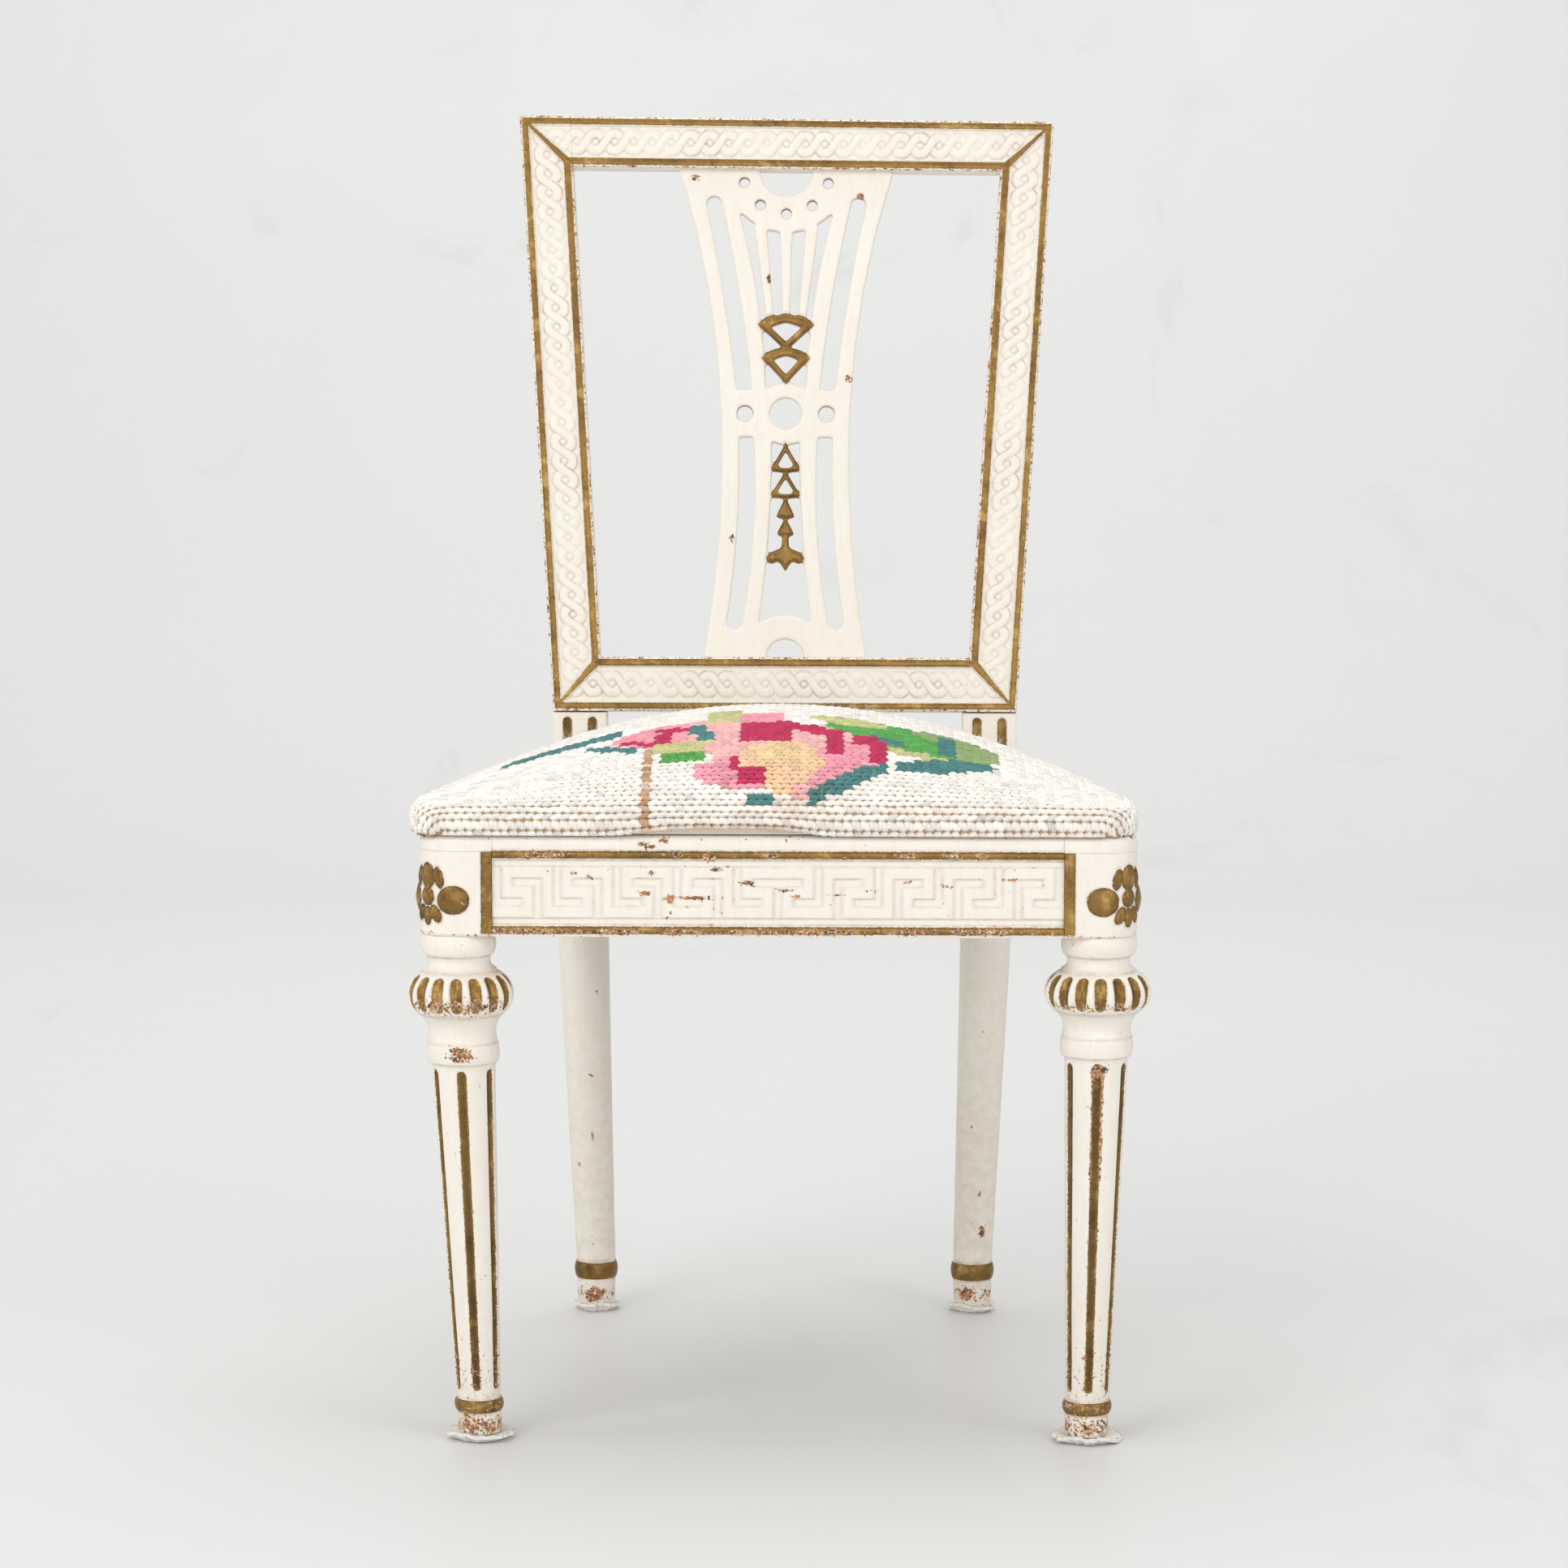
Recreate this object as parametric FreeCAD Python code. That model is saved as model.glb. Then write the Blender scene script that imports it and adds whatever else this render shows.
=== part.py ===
import FreeCAD, Part

import math
import os

Vector = FreeCAD.Vector
ORIGIN = Vector(0, 0, 0)
UP = Vector(0, 0, 1)

# A painted neoclassical side chair with a loose seat. All sizes are in millimetres.
# While it is modelled, y = 0 is the plane of the front leg axes and +y runs to the back.

# Stance
FRONT_LEG_SPACING = 440.0
FRONT_FOOT_LEAN = 10.0
REAR_POST_SPACING = 312.0
REAR_FOOT_SPACING = 291.0
SEAT_DEPTH = 357.5
REAR_FOOT_KICK = 44.0

# Seat rails
RAIL_TOP = 425.0
RAIL_HEIGHT = 70.0
RAIL_THICKNESS = 26.0
RAIL_LIP = 12.0
REAR_LIP = 16.0
REAR_LEDGE = 26.0
REBATE_DEPTH = 12.0
TOP_ROUND = 7.0
BEAD_HEIGHT = 5.3
BEAD_PROUD = 1.2
UPPER_BEAD_DROP = 11.0
LOWER_BEAD_RISE = 2.0
PANEL_GAP = 1.2
PANEL_SINK = 0.5

# Greek key on the rails, sunk lines between raised bands
KEY_MARGIN = 4.2
KEY_LINE = 5.3
KEY_BAND = 8.0
KEY_DEPTH = 1.3
KEY_END = 1.0
FRONT_KEY_COUNT = 5
SIDE_KEY_COUNT = 4

# Front legs, turned parts from the seat block down
BLOCK_WIDTH = 51.0
BLOCK_ROUND = 24.0
BLOCK_ROUND_STEPS = 8
BAR_WIDTH = 7.5
BAR_PROUD = 0.8
COLLAR_HEIGHT = 16.0
COLLAR_DIAMETER = 52.0
NECK_HEIGHT = 9.5
NECK_DIAMETER = 43.0
FILLET_HEIGHT = 2.0
FILLET_DIAMETER = 51.0
BULB_HEIGHT = 28.5
BULB_DIAMETER = 71.4
BULB_TOP_DIAMETER = 54.0
BULB_FOOT_DIAMETER = 60.0
DRUM_HEIGHT = 20.5
DRUM_DIAMETER = 48.4
RING_HEIGHT = 13.0
RING_DIAMETER = 50.6
RING_BULGE = 1.8
MOULDING_STEPS = 4
TURNED_SIDES = 32
COLLAR_STUB = 2.0
COLLAR_WAIST = 2.0
TAPER_TOP_DIAMETER = 44.0
TAPER_FOOT_DIAMETER = 29.8
ANKLE_HEIGHT = 12.0
ANKLE_DIAMETER = 34.4
ANKLE_BULGE = 1.7
FOOT_HEIGHT = 13.5
FOOT_DIAMETER = 30.4
FOOT_ROUND = 3.0
GADROON_COUNT = 16
GADROON_DEPTH = 2.4
GADROON_CORNER = 0.26
GADROON_CROWN = 0.6
GADROON_STEPS = 4
BULB_CORE_DIAMETER = 40.0
FLUTE_COUNT = 6
FLUTE_RADIUS = 3.6
FLUTE_DEPTH = 2.6
FLUTE_MARGIN = 9.0
FLUTE_SIDES = 8

# Rear legs
POST_WIDTH = 41.0
POST_DEPTH = 41.0
POST_DROP = 15.0
POST_SETBACK = 2.5
POST_KNEE_DROP = 5.3
POST_BULGE = 1.2
POST_FLUTE_RADIUS = 3.5
POST_FLUTE_DEPTH = 2.2
POST_FLUTE_SPACING = 19.0
POST_FLUTE_MARGIN = 6.0
REAR_LEG_TOP_DIAMETER = 40.4
REAR_LEG_ANKLE_DIAMETER = 30.0
REAR_ANKLE_DIAMETER = 33.6
REAR_ANKLE_HEIGHT = 13.0
REAR_FOOT_HEIGHT = 22.0
REAR_FOOT_DIAMETER = 30.0
REAR_LEG_STEPS = 4
REAR_LEG_SWEEP = 1.4

# Back, measured up its own slope from the bottom of the lower back rail
BACK_SETBACK = 4.5
BACK_CLEARANCE = 47.4
BACK_LENGTH = 453.0
BACK_RAKE = 7.93
BACK_TOP_WIDTH = 408.4
STILE_FACE = 38.5
CREST_FACE = 38.4
LOWER_FACE = 41.0
STILE_THICKNESS = 24.0
BORDER_SHARE = 0.17
FIELD_SINK = 1.8
MITRE_BAR_POINT = 1.4
MITRE_BAR_BUTT = 4.4

# Splat, half widths and stations up the slope, counted from the edges that it meets
SPLAT_THICKNESS = 11.0
SPLAT_SETBACK = 6.0
TONGUE_THICKNESS = 7.0
TONGUE_DEPTH = 8.0
TONGUE_SHY = 3.0
SPLAT_TOP_HALF = 82.0
SPLAT_SHOULDER_HALF = 65.0
SPLAT_SHOULDER_DROP = 63.0
SPLAT_WAIST_HALF = 48.5
SPLAT_WAIST_RISE = 140.0
SPLAT_FOOT_HALF = 61.8
TOP_ARCH_NOTCH = 20.0
TOP_ARCH_RADIUS = 47.5
TOP_ARCH_HOLE = 4.0
TOP_ARCH_HOLE_CIRCLE = 33.5
TOP_ARCH_HOLE_COUNT = 5
TOP_ARCH_HOLE_STEP = 36.5
FOOT_ARCH_NOTCH = 14.4
FOOT_ARCH_RADIUS = 32.6
RING_RISE = 186.7
RING_HOLE = 12.3
RING_OUTER = 23.5
BAND_HALF = 17.8
SIDE_HOLE = 6.2
SIDE_HOLE_OFFSET = 31.2
SLOT_TIP = 6.2
UPPER_SLOT_INNER = (26.0, 33.0, 49.3)
UPPER_SLOT_OUTER = (37.5, 45.1, 61.0)
UPPER_SLOT_BOW_DROP = 28.0
UPPER_SLOT_HEAD_DROP = 26.7
LOWER_SLOT_INNER = (24.5, 24.3, 32.6)
LOWER_SLOT_OUTER = (35.8, 36.8, 44.6)
LOWER_SLOT_BOW_RISE = 98.0
LOWER_SLOT_FOOT_RISE = 27.5
UPPER_OPENING_HALVES = (15.0, 23.0, 39.0)
UPPER_OPENING_BOW_DROP = 6.0
UPPER_OPENING_HEAD_DROP = 22.0
LOWER_OPENING_HALVES = (20.5, 12.0, 11.0)
LOWER_OPENING_FOOT_RISE = 24.0
LOWER_OPENING_BOW_RISE = 108.0
OPENING_LAP = 12.0
CURVE_STEPS = 8
FAN_BAR_TOP = 9.5
FAN_BAR_FOOT = 5.6
FAN_BAR_SPREAD = 19.8
FAN_BAR_GATHER = 12.0
FAN_BAR_LAP = 4.0
FAN_BAR_RISE = 70.0

# Husks over the ring as (half width, rise of the brow), and the chain of drops under it
HUSKS = ((20.5, 75.0), (17.5, 49.5))
HUSK_HEIGHT = 26.5
HUSK_SHOULDER = 0.28
HUSK_BROW = 0.55
HUSK_WALL = 5.0
PIERCED_LINKS = ((10.1, 22.0), (10.4, 21.0))
BELL_LINKS = ((6.4, 16.5), (6.1, 14.5))
LINK_SHOULDER = 0.8
LINK_FOOT = 0.5
LINK_WALL = 3.0
LINK_LAP = 1.0
BUD_STEM = (2.2, 0.0)
BUD_NECK = (3.0, 10.0)
BUD_LEAF_TIP = (12.6, 14.0)
BUD_LEAF_FOOT = (10.5, 20.0)
BUD_CHEEK = (4.5, 21.0)
BUD_LENGTH = 28.0

# Joints
TENON_THICKNESS = 8.0
TENON_LENGTH = 27.0
REAR_TENON_LENGTH = 19.0
BACK_TENON_LENGTH = 22.0
TENON_SHOULDER = 8.0
FIT = 0.15
PEG_SIDE = 6.0
PEG_SKIN = 5.0
FRONT_PEG_LEVEL = 0.58
SIDE_PEG_LEVEL = 0.3
TENON_ROOT = 1.0
CORNER_BLOCK_LENGTH = 45.0
CORNER_BLOCK_HEIGHT = 39.0
CORNER_BLOCK_DROP = 2.0
NAIL_GRIP = 14.0
NAIL_BITE = 12.0
NAIL_SIDE = 3.5
NAIL_HEAD_SIDE = 7.5
NAIL_HEAD_HEIGHT = 2.5
NAIL_POCKET_SIDE = 13.0

# Felt pads
FELT_THICKNESS = 4.0
FRONT_FELT_DIAMETER = 46.0
REAR_FELT_DIAMETER = 34.0
FELT_SNIPS = 18

# Loose seat
SEAT_CLEARANCE = 1.5
FRAME_REAR_GAP = 14.0
BATTEN_WIDTH = 45.0
BATTEN_HEIGHT = 20.0
STRAP_THICKNESS = 2.0
STRAP_WIDTH = 50.0
STRAP_RAMP = 8.0
STRAP_END = 9.0
CROSS_STRAP_COUNT = 3
CROSS_STRAP_PITCH = 85.0
LONG_STRAP_COUNT = 4
LONG_STRAP_PITCH = 66.0
TACK_HEAD = 6.0
TACK_HEAD_HEIGHT = 0.9
TACK_SHANK = 1.8
TACK_LENGTH = 12.0
TACK_OFFSET = 14.0
TACK_EDGE = 16.0
HESSIAN_THICKNESS = 1.0
HESSIAN_INSET = 6.0
LAYER_GAP = 0.2
COVER_THICKNESS = 2.6
LINING_THICKNESS = 1.0
COVER_OVERHANG = 1.0
COVER_REAR_GAP = 1.5
COVER_LIFT = 0.4
EDGE_HEIGHT = 18.0
BELLY_HEIGHT = 9.0
DRAW_IN = 3.0
CROWN_HEIGHT = 50.0
CROWN_CORNER = 24.0
CROWN_STEPS = 5
CROWN_CAP = 0.15
CORNER_STEPS = 4
EDGE_TURN = 2.4

# Places that follow from the driving sizes
RAIL_BOTTOM = RAIL_TOP - RAIL_HEIGHT
REBATE_FLOOR = RAIL_TOP - REBATE_DEPTH
LEG_X = FRONT_LEG_SPACING / 2
BLOCK_HALF = BLOCK_WIDTH / 2
BLOCK_IN = LEG_X - BLOCK_HALF
BLOCK_OUT = LEG_X + BLOCK_HALF
POST_X = REAR_POST_SPACING / 2
POST_IN = POST_X - POST_WIDTH / 2
POST_OUT = POST_X + POST_WIDTH / 2
POST_BOTTOM = RAIL_BOTTOM - POST_DROP
BACK_Y = SEAT_DEPTH + BACK_SETBACK
BACK_Z = RAIL_TOP + BACK_CLEARANCE
SIDE_RUN = SEAT_DEPTH - BLOCK_HALF
SIDE_SLOPE = (BLOCK_OUT - POST_OUT) / SIDE_RUN
SIDE_ANGLE = math.atan(SIDE_SLOPE)

# Reach of cutters, how far they run past a face, and how near an edge must be to count as found
FAR = 1000.0
OVERCUT = 1.0
NEAR = 0.01


def box(x0, x1, y0, y1, z0, z1):
    return Part.makeBox(x1 - x0, y1 - y0, z1 - z0, Vector(x0, y0, z0))


def polygon(points):
    return Part.Face(Part.makePolygon(list(points) + [points[0]]))


def plan_prism(points, z0, z1):
    face = polygon([Vector(x, y, z0) for x, y in points])
    return face.extrude(Vector(0, 0, z1 - z0))


def stacked(rings):
    """Solid with flat faces between closed rings that have the same number of points."""
    faces = [polygon(rings[0]), polygon(rings[-1])]
    for low, high in zip(rings, rings[1:]):
        for index in range(len(low)):
            after = (index + 1) % len(low)
            faces.append(polygon([low[index], low[after], high[after], high[index]]))
    shell = Part.makeShell(faces)
    shell.sewShape()
    solid = Part.makeSolid(shell)
    if solid.Volume < 0:
        solid.reverse()
    return solid


def curve(points):
    """A smooth curve through the points, drawn as short chords."""
    spline = Part.BSplineCurve()
    spline.interpolate(points)
    return Part.makePolygon(spline.toShape().discretize(CURVE_STEPS + 1))


def line(start, end):
    return Part.makeLine(start, end)


def arc(start, middle, end):
    return Part.Arc(start, middle, end).toShape()


def mirrored(shape):
    return shape.mirror(ORIGIN, Vector(1, 0, 0))


def clean(shape):
    return shape.removeSplitter()


def side_x(y, inset):
    """Half width at y of a line that runs inset inside the outer faces of the side rails."""
    return BLOCK_OUT - (y - BLOCK_HALF) * SIDE_SLOPE - inset / math.cos(SIDE_ANGLE)


def seat_outline(inset, rear_gap=0.0):
    """Right hand corners of the seat opening, drawn in by inset from its walls."""
    front = -BLOCK_HALF + RAIL_LIP + inset
    rear = SEAT_DEPTH - inset - rear_gap
    return [(side_x(front, RAIL_LIP + inset), front), (side_x(rear, RAIL_LIP + inset), rear)]


def seat_prism(inset, rear_gap, z0, z1):
    front, rear = seat_outline(inset, rear_gap)
    return plan_prism([(-front[0], front[1]), front, rear, (-rear[0], rear[1])], z0, z1)


# Moulded rails

def rail_profile():
    """Section of a seat rail: outer face on y = 0, wood towards +y, rebate at the inner top."""
    upper = RAIL_TOP - UPPER_BEAD_DROP
    lower = RAIL_BOTTOM + LOWER_BEAD_RISE
    panel_top = upper - BEAD_HEIGHT - PANEL_GAP
    panel_foot = lower + BEAD_HEIGHT + PANEL_GAP
    round_middle = TOP_ROUND * (1 - math.sqrt(0.5))

    def at(y, z):
        return Vector(0, y, z)

    edges = [line(at(0, RAIL_BOTTOM), at(0, lower)),
             arc(at(0, lower), at(-BEAD_PROUD, lower + BEAD_HEIGHT / 2), at(0, lower + BEAD_HEIGHT)),
             line(at(0, lower + BEAD_HEIGHT), at(0, panel_foot)),
             line(at(0, panel_foot), at(PANEL_SINK, panel_foot)),
             line(at(PANEL_SINK, panel_foot), at(PANEL_SINK, panel_top)),
             line(at(PANEL_SINK, panel_top), at(0, panel_top)),
             line(at(0, panel_top), at(0, upper - BEAD_HEIGHT)),
             arc(at(0, upper - BEAD_HEIGHT), at(-BEAD_PROUD, upper - BEAD_HEIGHT / 2), at(0, upper)),
             line(at(0, upper), at(0, RAIL_TOP - TOP_ROUND)),
             arc(at(0, RAIL_TOP - TOP_ROUND), at(round_middle, RAIL_TOP - round_middle),
                 at(TOP_ROUND, RAIL_TOP)),
             line(at(TOP_ROUND, RAIL_TOP), at(RAIL_LIP, RAIL_TOP)),
             line(at(RAIL_LIP, RAIL_TOP), at(RAIL_LIP, REBATE_FLOOR)),
             line(at(RAIL_LIP, REBATE_FLOOR), at(RAIL_THICKNESS, REBATE_FLOOR)),
             line(at(RAIL_THICKNESS, REBATE_FLOOR), at(RAIL_THICKNESS, RAIL_BOTTOM)),
             line(at(RAIL_THICKNESS, RAIL_BOTTOM), at(0, RAIL_BOTTOM))]
    return Part.Face(Part.Wire(edges)), panel_foot, panel_top


def key_lines(half_length, count, foot, top):
    """Sunk lines of a Greek key that is mirrored about the middle of its panel."""
    top_line = top - KEY_MARGIN
    foot_line = foot + KEY_MARGIN
    rise = (top_line - foot_line - 2 * KEY_LINE) / 3
    pitch = (half_length - KEY_END + KEY_LINE / 2 + KEY_BAND) / count
    reach = pitch - KEY_LINE - KEY_BAND
    half = KEY_LINE / 2
    rows = [(-half_length, half_length, top_line, top), (-half_length, half_length, foot, foot_line)]
    for index in range(count):
        rising = index * pitch
        falling = rising + reach
        for side in (-1, 1):
            rows.append((side * (falling - half), side * (falling + half), foot_line + rise, top_line))
            rows.append((side * (rising + half + KEY_BAND), side * (falling + half),
                         foot_line + rise, foot_line + rise + KEY_LINE))
            rows.append((side * (rising - half), side * (falling - half - KEY_BAND),
                         top_line - rise - KEY_LINE, top_line - rise))
            rows.append((side * (rising - half), side * (rising + half), foot_line, top_line - rise))
    first = box(-half_length, half_length, PANEL_SINK - FAR, PANEL_SINK + KEY_DEPTH, top_line, top)
    cutters = [box(min(a, b), max(a, b), -FAR, PANEL_SINK + KEY_DEPTH, z0, z1) for a, b, z0, z1 in rows]
    return first.multiFuse(cutters)


def moulded_bar(half_length, key_half, count):
    """A straight seat rail along x with its outer face on y = 0."""
    profile, foot, top = rail_profile()
    profile.translate(Vector(-half_length, 0, 0))
    bar = profile.extrude(Vector(2 * half_length, 0, 0))
    return bar.cut(key_lines(key_half, count, foot, top))


def tenon_levels():
    return RAIL_BOTTOM + TENON_SHOULDER, REBATE_FLOOR - TENON_SHOULDER / 2


def grown(bounds, room):
    x0, x1, y0, y1, z0, z1 = bounds
    return box(x0 - room, x1 + room, y0 - room, y1 + room, z0 - room, z1 + room)


def front_tenon():
    middle = -BLOCK_HALF + RAIL_THICKNESS / 2
    z0, z1 = tenon_levels()
    return (BLOCK_IN - TENON_ROOT, BLOCK_IN + TENON_LENGTH, middle - TENON_THICKNESS / 2,
            middle + TENON_THICKNESS / 2, z0, z1)


def side_front_tenon():
    middle = side_x(BLOCK_HALF, RAIL_THICKNESS / 2)
    z0, z1 = tenon_levels()
    return (middle - TENON_THICKNESS / 2, middle + TENON_THICKNESS / 2,
            BLOCK_HALF - TENON_LENGTH, BLOCK_HALF + TENON_ROOT, z0, z1)


def side_rear_tenon():
    middle = side_x(SEAT_DEPTH, RAIL_THICKNESS / 2)
    z0, z1 = tenon_levels()
    return (middle - TENON_THICKNESS / 2, middle + TENON_THICKNESS / 2,
            SEAT_DEPTH - TENON_ROOT, SEAT_DEPTH + TENON_LENGTH, z0, z1)


def rear_tenon():
    middle = SEAT_DEPTH + REAR_LIP / 2
    z0, z1 = tenon_levels()
    return (POST_IN - TENON_ROOT, POST_IN + REAR_TENON_LENGTH, middle - TENON_THICKNESS / 2,
            middle + TENON_THICKNESS / 2, z0, z1)


# Square pegs driven through the tenons from faces that don't show at the front

def front_rail_peg():
    x = BLOCK_IN + TENON_LENGTH / 2
    z = RAIL_BOTTOM + FRONT_PEG_LEVEL * RAIL_HEIGHT
    half = PEG_SIDE / 2
    return (x - half, x + half, -BLOCK_HALF + PEG_SKIN, BLOCK_HALF, z - half, z + half)


def side_rail_peg():
    y = BLOCK_HALF - TENON_LENGTH / 2
    z = RAIL_BOTTOM + SIDE_PEG_LEVEL * RAIL_HEIGHT
    half = PEG_SIDE / 2
    return (BLOCK_IN, BLOCK_OUT - PEG_SKIN, y - half, y + half, z - half, z + half)


def rear_rail_peg():
    x = POST_IN + REAR_TENON_LENGTH / 2
    z = RAIL_BOTTOM + RAIL_HEIGHT / 2
    half = PEG_SIDE / 2
    return (x - half, x + half, SEAT_DEPTH + PEG_SKIN, SEAT_DEPTH + POST_DEPTH, z - half, z + half)


def side_rail():
    """Right hand side rail between the front block and the rear post."""
    run = SIDE_RUN / math.cos(SIDE_ANGLE) / 2
    bar = moulded_bar(run + RAIL_THICKNESS, run - RAIL_THICKNESS * math.tan(SIDE_ANGLE), SIDE_KEY_COUNT)
    bar.rotate(ORIGIN, UP, 90 + math.degrees(SIDE_ANGLE))
    bar.translate(Vector((BLOCK_OUT + POST_OUT) / 2, BLOCK_HALF + SIDE_RUN / 2, 0))
    bar = bar.common(box(-FAR, FAR, BLOCK_HALF, SEAT_DEPTH, 0, FAR))
    bar = bar.multiFuse([box(*side_front_tenon()), box(*side_rear_tenon())])
    return clean(bar.cut(grown(side_rail_peg(), FIT)))


def front_rail():
    bar = moulded_bar(BLOCK_IN, BLOCK_IN, FRONT_KEY_COUNT)
    bar.translate(Vector(0, -BLOCK_HALF, 0))
    tenon = box(*front_tenon())
    peg = grown(front_rail_peg(), FIT)
    bar = bar.multiFuse([tenon, mirrored(tenon)])
    return clean(bar.cut([peg, mirrored(peg)]))


def rear_rail():
    back = SEAT_DEPTH + REAR_LIP
    bar = box(-POST_IN, POST_IN, SEAT_DEPTH - REAR_LEDGE, back, RAIL_BOTTOM, RAIL_TOP)
    bar = bar.cut(box(-FAR, FAR, -FAR, SEAT_DEPTH, REBATE_FLOOR, FAR))
    edges = [e for e in bar.Edges if abs(e.CenterOfMass.z - RAIL_TOP) < NEAR
             and abs(e.CenterOfMass.y - back) < NEAR]
    bar = bar.makeFillet(TOP_ROUND, edges)
    tenon = box(*rear_tenon())
    peg = grown(rear_rail_peg(), FIT)
    bar = bar.multiFuse([tenon, mirrored(tenon)])
    return clean(bar.cut([peg, mirrored(peg)]))


# Front legs

def moulding(start, middle, end):
    """An arc of a turned profile, drawn as a few chords."""
    return arc(start, middle, end).discretize(MOULDING_STEPS + 1)


COLLAR_FOOT = RAIL_BOTTOM - COLLAR_HEIGHT
NECK_FOOT = COLLAR_FOOT - NECK_HEIGHT
BULB_TOP = NECK_FOOT - FILLET_HEIGHT
BULB_FOOT = BULB_TOP - BULB_HEIGHT
DRUM_FOOT = BULB_FOOT - DRUM_HEIGHT
RING_FOOT = DRUM_FOOT - RING_HEIGHT
ANKLE_FOOT = FELT_THICKNESS + FOOT_HEIGHT
ANKLE_TOP = ANKLE_FOOT + ANKLE_HEIGHT


def turned(profile):
    """Turned form about the z axis from profile points with x as radius, drawn with many flat sides."""
    rings = []
    for point in profile:
        ring = []
        for index in range(TURNED_SIDES):
            turn = 2 * math.pi * (index + 0.5) / TURNED_SIDES
            ring.append(Vector(point.x * math.cos(turn), point.x * math.sin(turn), point.z))
        rings.append(ring)
    return stacked(rings)


def turned_body():
    """The turned leg about its own axis, with a plain core where the gadrooned bulb goes."""
    def at(diameter, z):
        return Vector(diameter / 2, 0, z)

    head = RAIL_BOTTOM + COLLAR_STUB
    sole = FELT_THICKNESS - FOOT_ROUND
    collar_root = NECK_DIAMETER + COLLAR_WAIST
    ring_root = RING_DIAMETER - 2 * RING_BULGE
    ankle_root = ANKLE_DIAMETER - 2 * ANKLE_BULGE
    collar = moulding(at(collar_root, RAIL_BOTTOM), at(COLLAR_DIAMETER, RAIL_BOTTOM - COLLAR_HEIGHT / 2),
                      at(collar_root, COLLAR_FOOT))
    neck = moulding(at(collar_root, COLLAR_FOOT), at(NECK_DIAMETER, COLLAR_FOOT - NECK_HEIGHT / 2),
                    at(FILLET_DIAMETER, NECK_FOOT))
    drum = moulding(at(BULB_FOOT_DIAMETER, BULB_FOOT), at(DRUM_DIAMETER, BULB_FOOT - DRUM_HEIGHT / 2),
                    at(DRUM_DIAMETER, DRUM_FOOT))
    ring = moulding(at(ring_root, DRUM_FOOT), at(RING_DIAMETER, DRUM_FOOT - RING_HEIGHT / 2),
                    at(ring_root, RING_FOOT))
    ankle = moulding(at(ankle_root, ANKLE_TOP), at(ANKLE_DIAMETER, ANKLE_TOP - ANKLE_HEIGHT / 2),
                     at(ankle_root, ANKLE_FOOT))
    points = [at(collar_root, head)] + collar + neck[1:]
    points += [at(FILLET_DIAMETER, BULB_TOP), at(BULB_CORE_DIAMETER, BULB_TOP)]
    points += [at(BULB_CORE_DIAMETER, BULB_FOOT)] + drum + ring
    points += [at(TAPER_TOP_DIAMETER, RING_FOOT), at(TAPER_FOOT_DIAMETER, ANKLE_TOP)] + ankle
    points += [at(FOOT_DIAMETER, ANKLE_FOOT), at(FOOT_DIAMETER - FOOT_ROUND, sole)]
    return turned(points)


def gadroon_ring(scale, z):
    """Section of the bulb: each rib has a crown and two corners, with a groove beside it."""
    rib = ((0.0, GADROON_CROWN + GADROON_DEPTH), (GADROON_CORNER, GADROON_CROWN),
           (0.5, 0.0), (1 - GADROON_CORNER, GADROON_CROWN))
    points = []
    for index in range(GADROON_COUNT):
        for share, sink in rib:
            turn = 2 * math.pi * (index + share) / GADROON_COUNT
            reach = scale * (BULB_DIAMETER / 2 - sink)
            points.append(Vector(reach * math.cos(turn), reach * math.sin(turn), z))
    return points


def gadrooned_bulb():
    """Bulb carved with grooves that run out under the fillet and on the drum."""
    widest = Vector(BULB_DIAMETER / 2, 0, BULB_TOP - BULB_HEIGHT / 2)
    bend = arc(Vector(BULB_TOP_DIAMETER / 2, 0, BULB_TOP), widest,
               Vector(BULB_FOOT_DIAMETER / 2, 0, BULB_FOOT))
    rims = bend.discretize(GADROON_STEPS + 1)
    return stacked([gadroon_ring(rim.x / widest.x, rim.z) for rim in rims])


def around(shape, count):
    copies = []
    for index in range(count):
        copy = shape.copy()
        copy.rotate(ORIGIN, UP, (index + 0.5) * 360.0 / count)
        copies.append(copy)
    return copies


def taper_flute():
    """Hollow flute along the taper, gouged in a few flat passes."""
    slope = (TAPER_TOP_DIAMETER - TAPER_FOOT_DIAMETER) / 2 / (RING_FOOT - ANKLE_TOP)
    ends = []
    for z in (ANKLE_TOP + FLUTE_MARGIN, RING_FOOT - FLUTE_MARGIN):
        radius = TAPER_FOOT_DIAMETER / 2 + slope * (z - ANKLE_TOP) + FLUTE_RADIUS - FLUTE_DEPTH
        ends.append(Vector(radius, 0, z))
    section = []
    for index in range(FLUTE_SIDES):
        turn = 2 * math.pi * (index + 0.5) / FLUTE_SIDES
        section.append(ends[0] + Vector(FLUTE_RADIUS * math.cos(turn), FLUTE_RADIUS * math.sin(turn), 0))
    return polygon(section).extrude(ends[1] - ends[0])


def turned_leg():
    leg = turned_body().fuse(gadrooned_bulb())
    leg = leg.cut(around(taper_flute(), FLUTE_COUNT))
    lean = math.degrees(math.atan(FRONT_FOOT_LEAN / RAIL_BOTTOM))
    leg.rotate(Vector(0, 0, RAIL_BOTTOM), Vector(0, 1, 0), lean)
    leg.translate(Vector(LEG_X, 0, 0))
    return leg.cut(box(-FAR, FAR, -FAR, FAR, -FAR, FELT_THICKNESS))


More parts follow.
